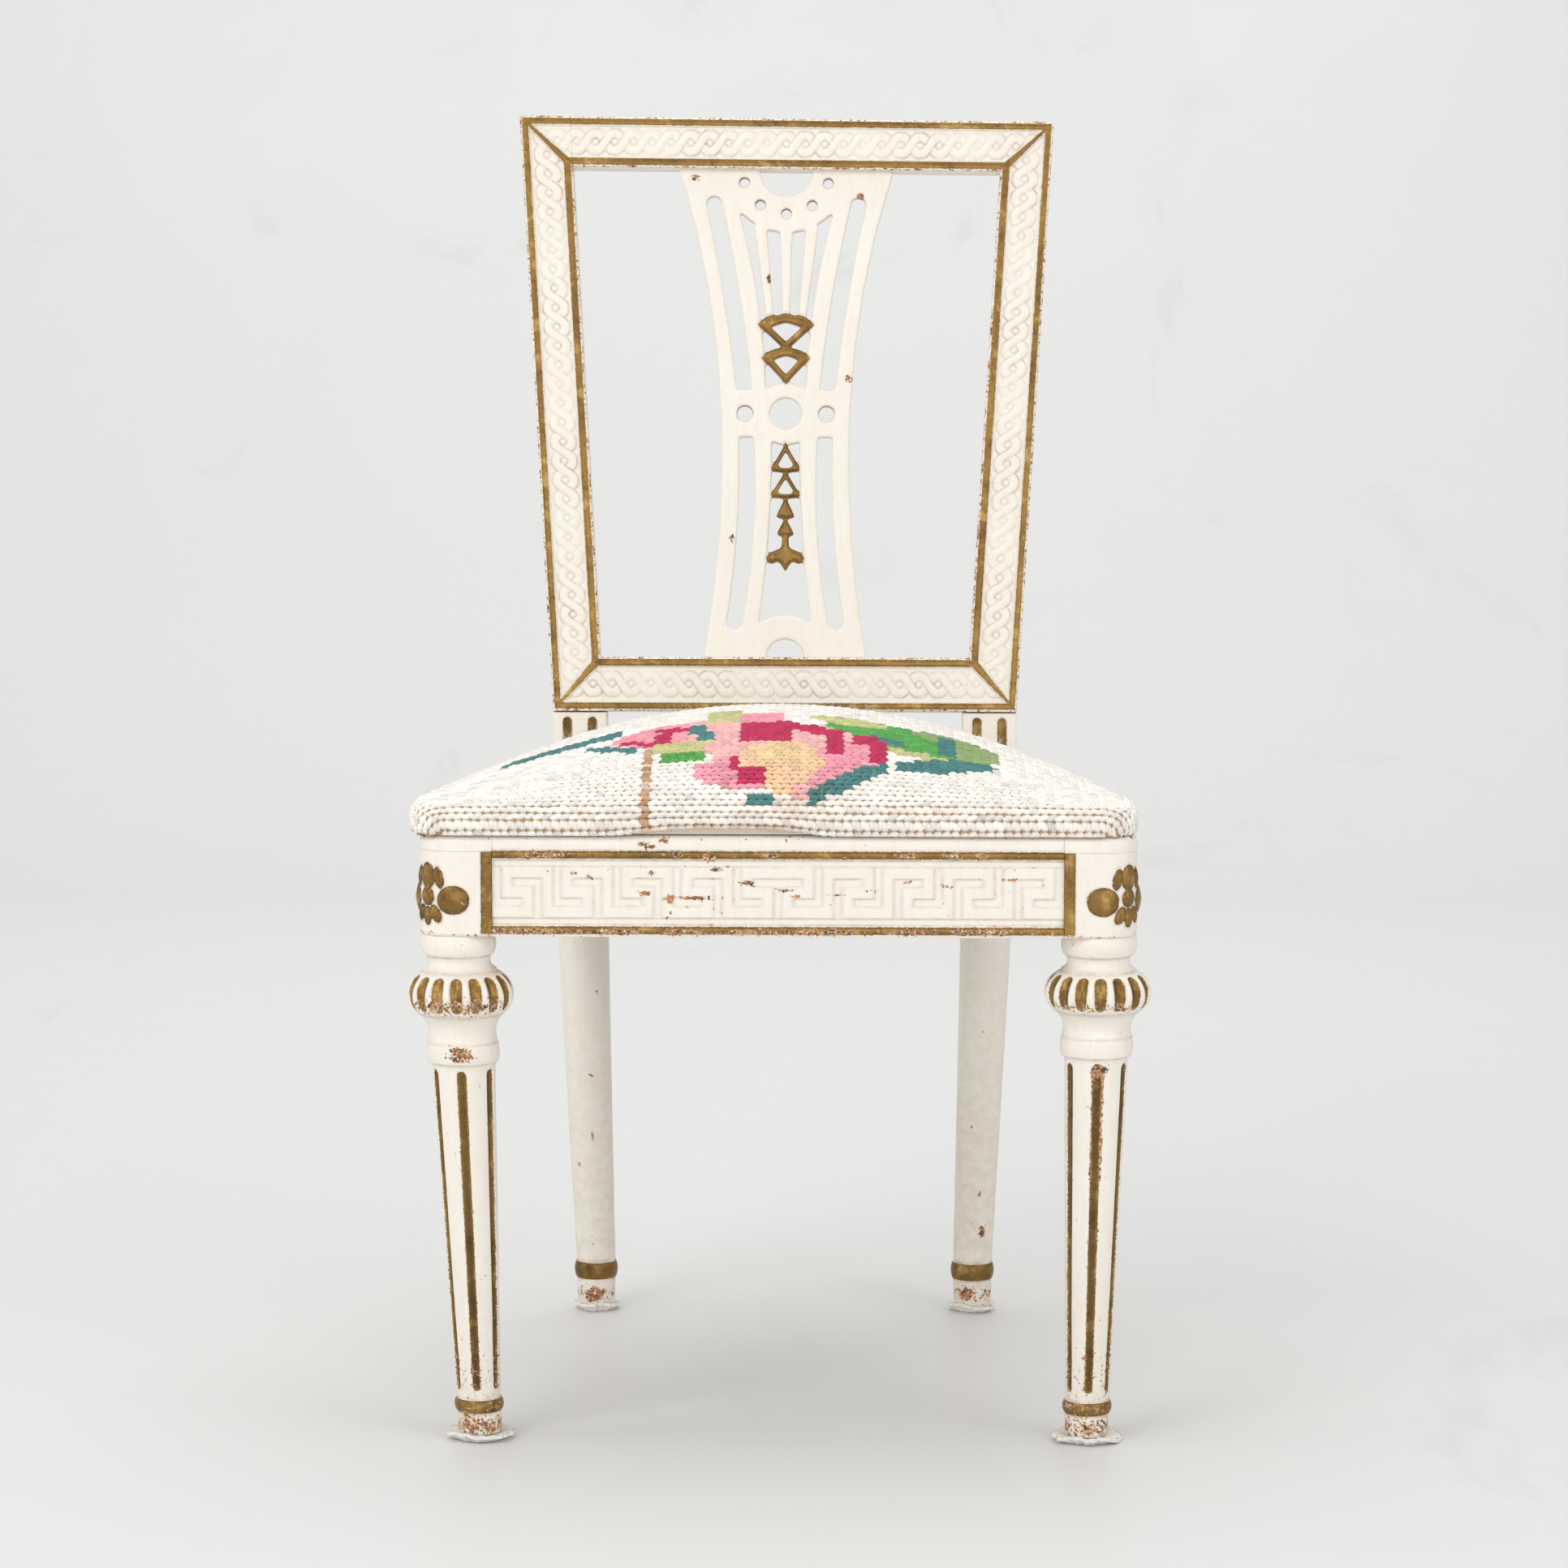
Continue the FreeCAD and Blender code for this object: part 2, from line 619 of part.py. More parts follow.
def block_outline(inset, z):
    """Plan of the seat block, with its two outer faces and their round corner drawn in by inset."""
    x, y = BLOCK_OUT - BLOCK_ROUND, BLOCK_ROUND - BLOCK_HALF
    points = [Vector(BLOCK_IN, inset - BLOCK_HALF, z)]
    for index in range(BLOCK_ROUND_STEPS + 1):
        turn = math.pi / 2 * (index / BLOCK_ROUND_STEPS - 1)
        reach = BLOCK_ROUND - inset
        points.append(Vector(x + reach * math.cos(turn), y + reach * math.sin(turn), z))
    return points + [Vector(BLOCK_OUT - inset, BLOCK_HALF, z), Vector(BLOCK_IN, BLOCK_HALF, z)]


def seat_block():
    """Square block at the top of a front leg, with its outer corner and its top edges rounded."""
    x0, x1, y0, y1 = BLOCK_IN, BLOCK_OUT, -BLOCK_HALF, BLOCK_HALF
    rings = [block_outline(0, RAIL_BOTTOM)]
    for index in range(MOULDING_STEPS + 1):
        turn = math.pi / 2 * index / MOULDING_STEPS
        level = RAIL_TOP - TOP_ROUND * (1 - math.sin(turn))
        rings.append(block_outline(TOP_ROUND * (1 - math.cos(turn)), level))
    block = stacked(rings)
    foot = RAIL_BOTTOM + LOWER_BEAD_RISE
    top = RAIL_TOP - UPPER_BEAD_DROP
    front_bar = box(x0, x0 + BAR_WIDTH, y0 - BAR_PROUD, y0 + OVERCUT, foot, top)
    side_bar = box(x1 - OVERCUT, x1 + BAR_PROUD, y1 - BAR_WIDTH, y1, foot, top)
    return block.multiFuse([front_bar, side_bar])


def front_leg():
    leg = clean(seat_block().fuse(turned_leg()))
    cutters = [seat_prism(0, 0, REBATE_FLOOR, FAR),
               grown(front_tenon(), FIT), grown(side_front_tenon(), FIT),
               grown(front_rail_peg(), FIT), grown(side_rail_peg(), FIT)]
    return clean(leg.cut(cutters))


# Back frame, modelled upright as (x, depth, height up the slope) and then leaned back

def raised(shape):
    shape = shape.copy()
    shape.rotate(ORIGIN, Vector(1, 0, 0), -BACK_RAKE)
    shape.translate(Vector(0, BACK_Y, BACK_Z))
    return shape


def stile_out(s):
    return POST_OUT + (BACK_TOP_WIDTH / 2 - POST_OUT) * s / BACK_LENGTH


def stile_in(s):
    tilt = math.atan((BACK_TOP_WIDTH / 2 - POST_OUT) / BACK_LENGTH)
    return stile_out(s) - STILE_FACE / math.cos(tilt)


def back_prism(points, depth0, depth1):
    face = polygon([Vector(x, depth0, s) for x, s in points])
    return face.extrude(Vector(0, depth1 - depth0, 0))


def sunk_fields():
    """Recesses for the carved bands, with a bar left standing on each corner's diagonal."""
    opening_foot = LOWER_FACE
    opening_top = BACK_LENGTH - CREST_FACE
    outer = [(-stile_out(0), 0), (stile_out(0), 0),
             (stile_out(BACK_LENGTH), BACK_LENGTH), (-stile_out(BACK_LENGTH), BACK_LENGTH)]
    inner = [(-stile_in(opening_foot), opening_foot), (stile_in(opening_foot), opening_foot),
             (stile_in(opening_top), opening_top), (-stile_in(opening_top), opening_top)]

    def between(corner, share):
        return Vector(outer[corner][0] + share * (inner[corner][0] - outer[corner][0]),
                      outer[corner][1] + share * (inner[corner][1] - outer[corner][1]), 0)

    fields = []
    for first in range(len(outer)):
        second = (first + 1) % len(outer)
        run = between(second, 0) - between(first, 0)
        run.normalize()
        corners = [between(first, BORDER_SHARE) + run * MITRE_BAR_POINT,
                   between(second, BORDER_SHARE) - run * MITRE_BAR_POINT,
                   between(second, 1 - BORDER_SHARE) - run * MITRE_BAR_BUTT,
                   between(first, 1 - BORDER_SHARE) + run * MITRE_BAR_BUTT]
        fields.append(back_prism([(c.x, c.y) for c in corners], -OVERCUT, FIELD_SINK))
    return fields


def tenon_depths():
    middle = STILE_THICKNESS / 2 + FIELD_SINK / 2
    return middle - TENON_THICKNESS / 2, middle + TENON_THICKNESS / 2


def back_tenon(foot, top):
    """Tenon of a back rail that runs between the heights foot and top, into the right stile."""
    shoulder = stile_in((foot + top) / 2)
    depth0, depth1 = tenon_depths()
    lean = abs(stile_in(top) - stile_in(foot))
    return (shoulder - lean, shoulder + BACK_TENON_LENGTH, depth0, depth1,
            foot + TENON_SHOULDER, top - TENON_SHOULDER)


def back_peg(foot, top):
    x = stile_in((foot + top) / 2) + BACK_TENON_LENGTH / 2
    s = (foot + top) / 2
    half = PEG_SIDE / 2
    return (x - half, x + half, PEG_SKIN, STILE_THICKNESS, s - half, s + half)


CREST = (BACK_LENGTH - CREST_FACE, BACK_LENGTH)
LOWER = (0.0, LOWER_FACE)


def tongue_box(half, edge, direction, room):
    """Tongue of the splat past an edge of a back rail, or its groove when room is given."""
    middle = SPLAT_SETBACK + SPLAT_THICKNESS / 2
    ends = sorted((edge - direction * TENON_ROOT, edge + direction * (TONGUE_DEPTH + room)))
    return box(-half - room, half + room, middle - TONGUE_THICKNESS / 2 - room,
               middle + TONGUE_THICKNESS / 2 + room, ends[0], ends[1])


def back_rail(foot, top, splat_half, splat_edge, direction):
    points = [(-stile_in(foot), foot), (stile_in(foot), foot), (stile_in(top), top), (-stile_in(top), top)]
    rail = back_prism(points, 0, STILE_THICKNESS).cut(sunk_fields())
    tenon = box(*back_tenon(foot, top))
    peg = grown(back_peg(foot, top), FIT)
    rail = rail.multiFuse([tenon, mirrored(tenon)])
    rail = rail.cut([tongue_box(splat_half - TONGUE_SHY, splat_edge, direction, FIT), peg, mirrored(peg)])
    return raised(clean(rail))


def stile():
    points = [(stile_in(0), 0), (stile_out(0), 0), (stile_out(BACK_LENGTH), BACK_LENGTH),
              (stile_in(BACK_LENGTH), BACK_LENGTH)]
    blank = back_prism(points, 0, STILE_THICKNESS).cut(sunk_fields())
    cutters = []
    for level in (CREST, LOWER):
        cutters += [grown(back_tenon(*level), FIT), grown(back_peg(*level), FIT)]
    return raised(clean(blank.cut(cutters)))


def on_back(depth, s):
    """Side view place (y, z) of a point at a depth behind the back's face."""
    rake = math.radians(BACK_RAKE)
    return (BACK_Y + s * math.sin(rake) + depth * math.cos(rake),
            BACK_Z + s * math.cos(rake) - depth * math.sin(rake))


def rear_post():
    """Square block and short fluted post between the seat rails and the back frame."""
    def at(y, z):
        return Vector(POST_IN, y, z)

    rear = SEAT_DEPTH + POST_DEPTH
    face_top = at(*on_back(POST_SETBACK, 0))
    rear_top = at(*on_back(STILE_THICKNESS, 0))
    knee = at(rear, RAIL_TOP - POST_KNEE_DROP)
    bulge = (rear_top + knee) * 0.5 + Vector(0, POST_BULGE, 0)
    edges = [line(at(SEAT_DEPTH, POST_BOTTOM), at(SEAT_DEPTH, RAIL_TOP)),
             line(at(SEAT_DEPTH, RAIL_TOP), face_top),
             line(face_top, rear_top),
             arc(rear_top, bulge, knee),
             line(knee, at(rear, POST_BOTTOM)),
             line(at(rear, POST_BOTTOM), at(SEAT_DEPTH, POST_BOTTOM))]
    post = Part.Face(Part.Wire(edges)).extrude(Vector(POST_WIDTH, 0, 0))
    flutes = []
    run = face_top - at(SEAT_DEPTH, RAIL_TOP)
    length = run.Length
    run.normalize()
    forward = Vector(0, -run.z, run.y)
    for side in (-1, 1):
        middle = Vector(POST_X + side * POST_FLUTE_SPACING / 2, SEAT_DEPTH, RAIL_TOP)
        middle = middle + forward * (POST_FLUTE_RADIUS - POST_FLUTE_DEPTH)
        start = middle + run * POST_FLUTE_MARGIN
        end = middle + run * (length - POST_FLUTE_MARGIN)
        flutes.append(Part.makeCylinder(POST_FLUTE_RADIUS, (end - start).Length, start, run))
    return post.cut(flutes)


def rear_leg_centre(z):
    share = (POST_BOTTOM - z) / (POST_BOTTOM - FELT_THICKNESS)
    start_y = SEAT_DEPTH + POST_DEPTH / 2
    return (POST_X + share * (REAR_FOOT_SPACING / 2 - POST_X),
            start_y + share ** REAR_LEG_SWEEP * (SEAT_DEPTH + REAR_FOOT_KICK - start_y))


def round_rear_leg():
    """Round leg that tapers, splays back and ends in an ankle ring and a foot."""
    ankle_foot = FELT_THICKNESS + REAR_FOOT_HEIGHT
    ankle_top = ankle_foot + REAR_ANKLE_HEIGHT
    sections = []
    for index in range(REAR_LEG_STEPS + 1):
        share = index / REAR_LEG_STEPS
        place = rear_leg_centre(POST_BOTTOM + share * (ankle_top - POST_BOTTOM))
        diameter = REAR_LEG_TOP_DIAMETER + share * (REAR_LEG_ANKLE_DIAMETER - REAR_LEG_TOP_DIAMETER)
        centre = Vector(*place, POST_BOTTOM + share * (ankle_top - POST_BOTTOM))
        sections.append(Part.Wire(Part.makeCircle(diameter / 2, centre)))
    shaft = Part.makeLoft(sections, True, True)
    x, y = rear_leg_centre(ankle_top)
    root = REAR_ANKLE_DIAMETER - 2 * ANKLE_BULGE

    def at(diameter, z):
        return Vector(x + diameter / 2, y, z)

    ring = moulding(at(root, ankle_top), at(REAR_ANKLE_DIAMETER, ankle_top - REAR_ANKLE_HEIGHT / 2),
                    at(root, ankle_foot))
    points = [Vector(x, y, ankle_top)] + ring
    points += [at(REAR_FOOT_DIAMETER, ankle_foot), at(REAR_FOOT_DIAMETER - FOOT_ROUND, FELT_THICKNESS),
               Vector(x, y, FELT_THICKNESS)]
    foot = polygon(points).revolve(Vector(x, y, 0), UP, 360)
    return shaft.fuse(foot)


def rear_leg():
    leg = rear_post().multiFuse([round_rear_leg(), stile()])
    cutters = [grown(side_rear_tenon(), FIT), grown(rear_tenon(), FIT), grown(rear_rail_peg(), FIT)]
    return clean(leg.cut(cutters))


# Pierced splat, drawn as a flat face (x, height) and cut through

def closed_face(runs):
    edges = [edge for run in runs for edge in run.Edges]
    return Part.Face(Part.Wire(Part.__sortEdges__(edges)))


def at_back(x, s):
    return Vector(x, 0, s)


def reflected(points):
    return [Vector(-p.x, p.y, p.z) for p in reversed(points)]


def splat_outline(foot, top):
    right = [at_back(SPLAT_FOOT_HALF, foot), at_back(SPLAT_WAIST_HALF, foot + SPLAT_WAIST_RISE),
             at_back(SPLAT_SHOULDER_HALF, top - SPLAT_SHOULDER_DROP), at_back(SPLAT_TOP_HALF, top)]
    left = reflected(right)
    return closed_face([curve(right), line(right[-1], left[0]), curve(left), line(left[-1], right[0])])


def disc(x, s, radius):
    return Part.Face(Part.Wire(Part.makeCircle(radius, at_back(x, s), Vector(0, 1, 0))))


def slot(inner_halves, outer_halves, levels, tip):
    """Slot between two side curves, flat at its start and round at its tip."""
    inner = [at_back(x, s) for x, s in zip(inner_halves, levels)]
    outer = [at_back(x, s) for x, s in zip(outer_halves, levels)]
    end = (inner[-1] + outer[-1]) * 0.5 + Vector(0, 0, tip)
    return closed_face([curve(inner), arc(inner[-1], end, outer[-1]), curve(outer),
                        line(outer[0], inner[0])])


def upper_slot(band_top, top):
    levels = (band_top, (band_top + top) / 2 - UPPER_SLOT_BOW_DROP, top - UPPER_SLOT_HEAD_DROP)
    return slot(UPPER_SLOT_INNER, UPPER_SLOT_OUTER, levels, SLOT_TIP)


def lower_slot(foot, band_foot):
    levels = (band_foot, foot + LOWER_SLOT_BOW_RISE, foot + LOWER_SLOT_FOOT_RISE)
    return slot(LOWER_SLOT_INNER, LOWER_SLOT_OUTER, levels, -SLOT_TIP)


def centre_opening(halves, levels):
    right = [at_back(x, s) for x, s in zip(halves, levels)]
    left = reflected(right)
    return closed_face([curve(right), line(right[-1], left[0]), curve(left), line(left[-1], right[0])])


def fan_bars(top, gather):
    """Three bars that fan out from the husks to the top arch."""
    head = top - TOP_ARCH_RADIUS + FAN_BAR_LAP
    bars = []
    for side in (-1, 0, 1):
        wide = FAN_BAR_TOP / 2
        slim = FAN_BAR_FOOT / 2
        high = side * FAN_BAR_SPREAD
        low = side * FAN_BAR_GATHER
        bars.append(polygon([at_back(low - slim, gather), at_back(low + slim, gather),
                             at_back(high + wide, head), at_back(high - wide, head)]))
    return bars


def symmetric(points):
    """Face with the given right hand outline, from (half width, height) pairs, and its mirror image."""
    right = [at_back(x, s) for x, s in points]
    return polygon(right + [p for p in reflected(right) if p.x < 0])


def husk(half, brow):
    """Kite shaped rim that hangs point down, and its hole."""
    rim = symmetric([(0, brow - HUSK_HEIGHT), (half, brow - HUSK_HEIGHT * HUSK_SHOULDER),
                     (half * HUSK_BROW, brow)])
    return rim, rim.makeOffset2D(-HUSK_WALL)


def drop_link(half, top, height):
    return symmetric([(half * LINK_FOOT, top - height), (half, top - height * LINK_SHOULDER), (0, top)])


def chain(ring_foot):
    """Two pierced triangles, two bells and a leaf bud, each hung from the one above, and the holes."""
    links = []
    holes = []
    level = ring_foot + LINK_LAP
    for half, height in PIERCED_LINKS + BELL_LINKS:
        link = drop_link(half, level, height)
        links.append(link)
        if (half, height) in PIERCED_LINKS:
            holes.append(link.makeOffset2D(-LINK_WALL))
        level = level - height + LINK_LAP
    outline = [BUD_STEM, BUD_NECK, BUD_LEAF_TIP, BUD_LEAF_FOOT, BUD_CHEEK, (0, BUD_LENGTH)]
    links.append(symmetric([(x, level - drop) for x, drop in outline]))
    return links, holes


def back_splat():
    foot = LOWER_FACE
    top = BACK_LENGTH - CREST_FACE
    ring = foot + RING_RISE
    band_foot = ring - BAND_HALF
    band_top = ring + BAND_HALF
    slot_up = upper_slot(band_top, top)
    slot_down = lower_slot(foot, band_foot)
    upper_bow = (band_top + top) / 2 - UPPER_OPENING_BOW_DROP
    upper = centre_opening(UPPER_OPENING_HALVES,
                           (ring + OPENING_LAP, upper_bow, top - UPPER_OPENING_HEAD_DROP))
    lower_bow = foot + LOWER_OPENING_BOW_RISE
    lower = centre_opening(LOWER_OPENING_HALVES,
                           (foot + LOWER_OPENING_FOOT_RISE, lower_bow, ring - OPENING_LAP))
    cuts = [slot_up, mirrored(slot_up), slot_down, mirrored(slot_down),
            upper.cut([disc(0, top, TOP_ARCH_RADIUS), disc(0, ring, RING_OUTER)]),
            lower.cut([disc(0, foot, FOOT_ARCH_RADIUS), disc(0, ring, RING_OUTER)]),
            disc(0, ring, RING_HOLE), disc(0, top, TOP_ARCH_NOTCH), disc(0, foot, FOOT_ARCH_NOTCH)]
    cuts += [disc(side * SIDE_HOLE_OFFSET, ring, SIDE_HOLE) for side in (-1, 1)]
    for index in range(TOP_ARCH_HOLE_COUNT):
        turn = math.radians(-90 + (index - (TOP_ARCH_HOLE_COUNT - 1) / 2) * TOP_ARCH_HOLE_STEP)
        cuts.append(disc(TOP_ARCH_HOLE_CIRCLE * math.cos(turn), top + TOP_ARCH_HOLE_CIRCLE * math.sin(turn),
                         TOP_ARCH_HOLE))
    links, holes = chain(ring - RING_OUTER)
    additions = fan_bars(top, ring + FAN_BAR_RISE) + links
    for half, rise in HUSKS:
        rim, hole = husk(half, ring + rise)
        additions.append(rim)
        holes.append(hole)

    def thick(face):
        solid = face.extrude(Vector(0, SPLAT_THICKNESS, 0))
        solid.translate(Vector(0, SPLAT_SETBACK, 0))
        return solid

    board = thick(splat_outline(foot, top)).cut([thick(face) for face in cuts])
    board = board.multiFuse([thick(face) for face in additions])
    board = board.cut([thick(face) for face in holes])
    board = board.multiFuse([tongue_box(SPLAT_TOP_HALF - TONGUE_SHY, top, 1, 0),
                             tongue_box(SPLAT_FOOT_HALF - TONGUE_SHY, foot, -1, 0)])
    board = board.cut([thick(disc(0, top, TOP_ARCH_NOTCH)).common(back_prism(
        [(-FAR, 0), (FAR, 0), (FAR, top), (-FAR, top)], 0, STILE_THICKNESS))])
    return raised(clean(board))


# Corner blocks and their cut nails

def corner_plan(corner_x, face_y, corner_y, direction):
    """Plan of a block that fits round a leg's inner corner, against an end rail and a side rail."""
    side_y = corner_y + direction * CORNER_BLOCK_LENGTH
    return [(corner_x - CORNER_BLOCK_LENGTH, face_y), (corner_x, face_y), (corner_x, corner_y),
            (side_x(corner_y, RAIL_THICKNESS), corner_y), (side_x(side_y, RAIL_THICKNESS), side_y)]


def square_bar(side, start, end, place, direction):
    """Square bar along a direction, between two distances from place."""
    bar = box(-side / 2, side / 2, -side / 2, side / 2, start, end)
    across = direction.cross(UP)
    bar.Placement = FreeCAD.Placement(place, FreeCAD.Rotation(across, UP, direction, "ZYX"))
    return bar


def nail(place, direction, room):
    """Square cut nail whose head's top is at place, or its hole when room is given."""
    shank = square_bar(NAIL_SIDE + 2 * room, 0, NAIL_GRIP + NAIL_BITE + room, place, direction)
    head = square_bar(NAIL_HEAD_SIDE + 2 * room, -room, NAIL_HEAD_HEIGHT + room, place, direction)
    return shank.fuse(head)


def corner_nails(corner_x, face_y, corner_y, direction):
    """Head places and directions of the two nails of a right hand corner block."""
    z = REBATE_FLOOR - CORNER_BLOCK_DROP - CORNER_BLOCK_HEIGHT / 2
    reach = CORNER_BLOCK_LENGTH / 2
    into_end = Vector(0, -direction, 0)
    end_place = Vector(corner_x - reach, face_y, z) - into_end * NAIL_GRIP
    into_side = Vector(math.cos(SIDE_ANGLE), math.sin(SIDE_ANGLE), 0)
    side_y = corner_y + direction * reach
    side_place = Vector(side_x(side_y, RAIL_THICKNESS), side_y, z) - into_side * NAIL_GRIP
    return [(end_place, into_end), (side_place, into_side)]


FRONT_CORNER = (BLOCK_IN, RAIL_THICKNESS - BLOCK_HALF, BLOCK_HALF, 1)
REAR_CORNER = (POST_IN, SEAT_DEPTH - REAR_LEDGE, SEAT_DEPTH, -1)


def corner_block(corner):
    top = REBATE_FLOOR - CORNER_BLOCK_DROP
    block = plan_prism(corner_plan(*corner), top - CORNER_BLOCK_HEIGHT, top)
    holes = []
    for place, direction in corner_nails(*corner):
        holes.append(nail(place, direction, FIT))
        holes.append(square_bar(NAIL_POCKET_SIDE, -FAR, 0, place, direction))
    return clean(block.cut(holes))


def all_nails(room):
    return [nail(place, direction, room) for corner in (FRONT_CORNER, REAR_CORNER)
            for place, direction in corner_nails(*corner)]


def nail_group():
    nails = all_nails(0)
    return Part.makeCompound(nails + [mirrored(n) for n in nails])


# Loose seat

def batten_plans():
    front, rear = seat_outline(SEAT_CLEARANCE, FRAME_REAR_GAP)
    inner = RAIL_LIP + SEAT_CLEARANCE + BATTEN_WIDTH
    front_y = front[1] + BATTEN_WIDTH
    rear_y = rear[1] - BATTEN_WIDTH
    edge = RAIL_LIP + SEAT_CLEARANCE
    end = side_x(front_y, edge)
    back = side_x(rear_y, edge)
    return {"front": [(-front[0], front[1]), front, (end, front_y), (-end, front_y)],
            "rear": [(-back, rear_y), (back, rear_y), rear, (-rear[0], rear[1])],
            "right": [front, rear, (side_x(rear[1], inner), rear[1]), (side_x(front[1], inner), front[1])]}


BATTEN_TOP = REBATE_FLOOR + BATTEN_HEIGHT
BATTEN_MIDDLE = REBATE_FLOOR + BATTEN_HEIGHT / 2


def strap_centres(count, pitch):
    return [(index - (count - 1) / 2) * pitch for index in range(count)]


def cross_straps():
    """Centre y and half length of each strap from side batten to side batten."""
    front, rear = seat_outline(SEAT_CLEARANCE, FRAME_REAR_GAP)
    middle = (front[1] + rear[1]) / 2
    straps = []
    for offset in strap_centres(CROSS_STRAP_COUNT, CROSS_STRAP_PITCH):
        y = middle + offset
        straps.append((y, side_x(y + STRAP_WIDTH / 2, RAIL_LIP + SEAT_CLEARANCE) - STRAP_END))
    return straps


def tack_places():
    """Head centres: on the ends of the cross straps and of the long straps."""
    places = []
    for y, half in cross_straps():
        for side in (-1, 1):
            for offset in (-TACK_OFFSET, TACK_OFFSET):
                places.append((side * (half - TACK_EDGE), y + offset))
    front, rear = seat_outline(SEAT_CLEARANCE, FRAME_REAR_GAP)
    for x in strap_centres(LONG_STRAP_COUNT, LONG_STRAP_PITCH):
        for y in (front[1] + STRAP_END + TACK_EDGE, rear[1] - STRAP_END - TACK_EDGE):
            for offset in (-TACK_OFFSET, TACK_OFFSET):
                places.append((x + offset, y))
    return places


def tack_shank(x, y, room):
    half = TACK_SHANK / 2 + room
    top = BATTEN_TOP + STRAP_THICKNESS
    return box(x - half, x + half, y - half, y + half, top - TACK_LENGTH - room, top + room)


def tacks():
    half = TACK_HEAD / 2
    top = BATTEN_TOP + STRAP_THICKNESS
    group = []
    for x, y in tack_places():
        head = box(x - half, x + half, y - half, y + half, top, top + TACK_HEAD_HEIGHT)
        group.append(head.fuse(tack_shank(x, y, 0)))
    return Part.makeCompound(group)


def tack_holes():
    return [tack_shank(x, y, FIT) for x, y in tack_places()]


def battens():
    plans = batten_plans()
    left = [(-x, y) for x, y in plans["right"]]
    solids = {}
    for name in ("front", "rear"):
        bar = plan_prism(plans[name], REBATE_FLOOR, BATTEN_TOP)
        upper = [plan_prism(plan, BATTEN_MIDDLE, BATTEN_TOP + OVERCUT) for plan in (plans["right"], left)]
        solids[name + "_seat_batten"] = bar.cut(upper)
    for name, plan in (("right", plans["right"]), ("left", left)):
        bar = plan_prism(plan, REBATE_FLOOR, BATTEN_TOP)
        lower = [plan_prism(plans[end], REBATE_FLOOR - OVERCUT, BATTEN_MIDDLE) for end in ("front", "rear")]
        solids[name + "_seat_batten"] = bar.cut(lower)
    holes = tack_holes()
    return {name: clean(bar.cut(holes)) for name, bar in solids.items()}


def crosswise_webbing():
    half = STRAP_WIDTH / 2
    straps = [box(-reach, reach, y - half, y + half, BATTEN_TOP, BATTEN_TOP + STRAP_THICKNESS)
              for y, reach in cross_straps()]
    holes = tack_holes()
    return Part.makeCompound([strap.cut(holes) for strap in straps])


def lengthwise_webbing():
    """Straps that lie on the end battens and climb over the cross straps between them."""
    front, rear = seat_outline(SEAT_CLEARANCE, FRAME_REAR_GAP)
    y0 = front[1] + STRAP_END
    y1 = rear[1] - STRAP_END
    step0 = front[1] + BATTEN_WIDTH
    step1 = rear[1] - BATTEN_WIDTH
    low = BATTEN_TOP
    high = BATTEN_TOP + STRAP_THICKNESS
    top = high + STRAP_THICKNESS
    outline = [(y0, low), (step0, low), (step0 + STRAP_RAMP, high), (step1 - STRAP_RAMP, high), (step1, low),
               (y1, low), (y1, high), (step1, high), (step1 - STRAP_RAMP, top), (step0 + STRAP_RAMP, top),
               (step0, high), (y0, high)]
    holes = tack_holes()
    straps = []
    for x in strap_centres(LONG_STRAP_COUNT, LONG_STRAP_PITCH):
        face = polygon([Vector(x - STRAP_WIDTH / 2, y, z) for y, z in outline])
        straps.append(face.extrude(Vector(STRAP_WIDTH, 0, 0)).cut(holes))
    return Part.makeCompound(straps)


HESSIAN_FOOT = BATTEN_TOP + 2 * STRAP_THICKNESS + LAYER_GAP
HESSIAN_TOP = HESSIAN_FOOT + HESSIAN_THICKNESS


def rounded_section(corners, radius, z):
    """Closed outline round four corners, each drawn as a few chords of its arc."""
    points = [Vector(x, y, z) for x, y in corners]
    spans = []
    for index, corner in enumerate(points):
        before = points[index - 1] - corner
        after = points[(index + 1) % len(points)] - corner
        before.normalize()
        after.normalize()
        half = before.getAngle(after) / 2
        bisector = before + after
        bisector.normalize()
        setback = radius / math.tan(half)
        spans.append((corner + before * setback,
                      corner + bisector * (radius / math.sin(half) - radius),
                      corner + after * setback))
    return [point for span in spans for point in arc(*span).discretize(CORNER_STEPS + 1)]


def dome(inset, foot):
    """Crowned cushion form whose sides draw in at the foot, inset from the cover's outside."""
    overhang = COVER_OVERHANG - inset
    front = -BLOCK_HALF - overhang
    rear = SEAT_DEPTH - COVER_REAR_GAP - inset
    corners = [(-side_x(front, -overhang), front), (side_x(front, -overhang), front),
               (side_x(rear, -overhang), rear), (-side_x(rear, -overhang), rear)]
    middle = (front + rear) / 2
    base = RAIL_TOP + EDGE_HEIGHT - inset

    def scaled(share):
        return [(x * share, middle + (y - middle) * share) for x, y in corners]

    drawn = 1 - DRAW_IN / side_x(middle, 0)
    turned = 1 - EDGE_TURN / side_x(middle, 0)
    levels = [(drawn, foot), (1, RAIL_TOP + BELLY_HEIGHT)]
    for index in range(CROWN_STEPS + 1):
        share = 1 - (1 - CROWN_CAP) * index / CROWN_STEPS
        levels.append((share * turned, base + CROWN_HEIGHT * (1 - share ** 2)))
    sections = [rounded_section(scaled(share), CROWN_CORNER * share, z) for share, z in levels]
    return stacked(sections)


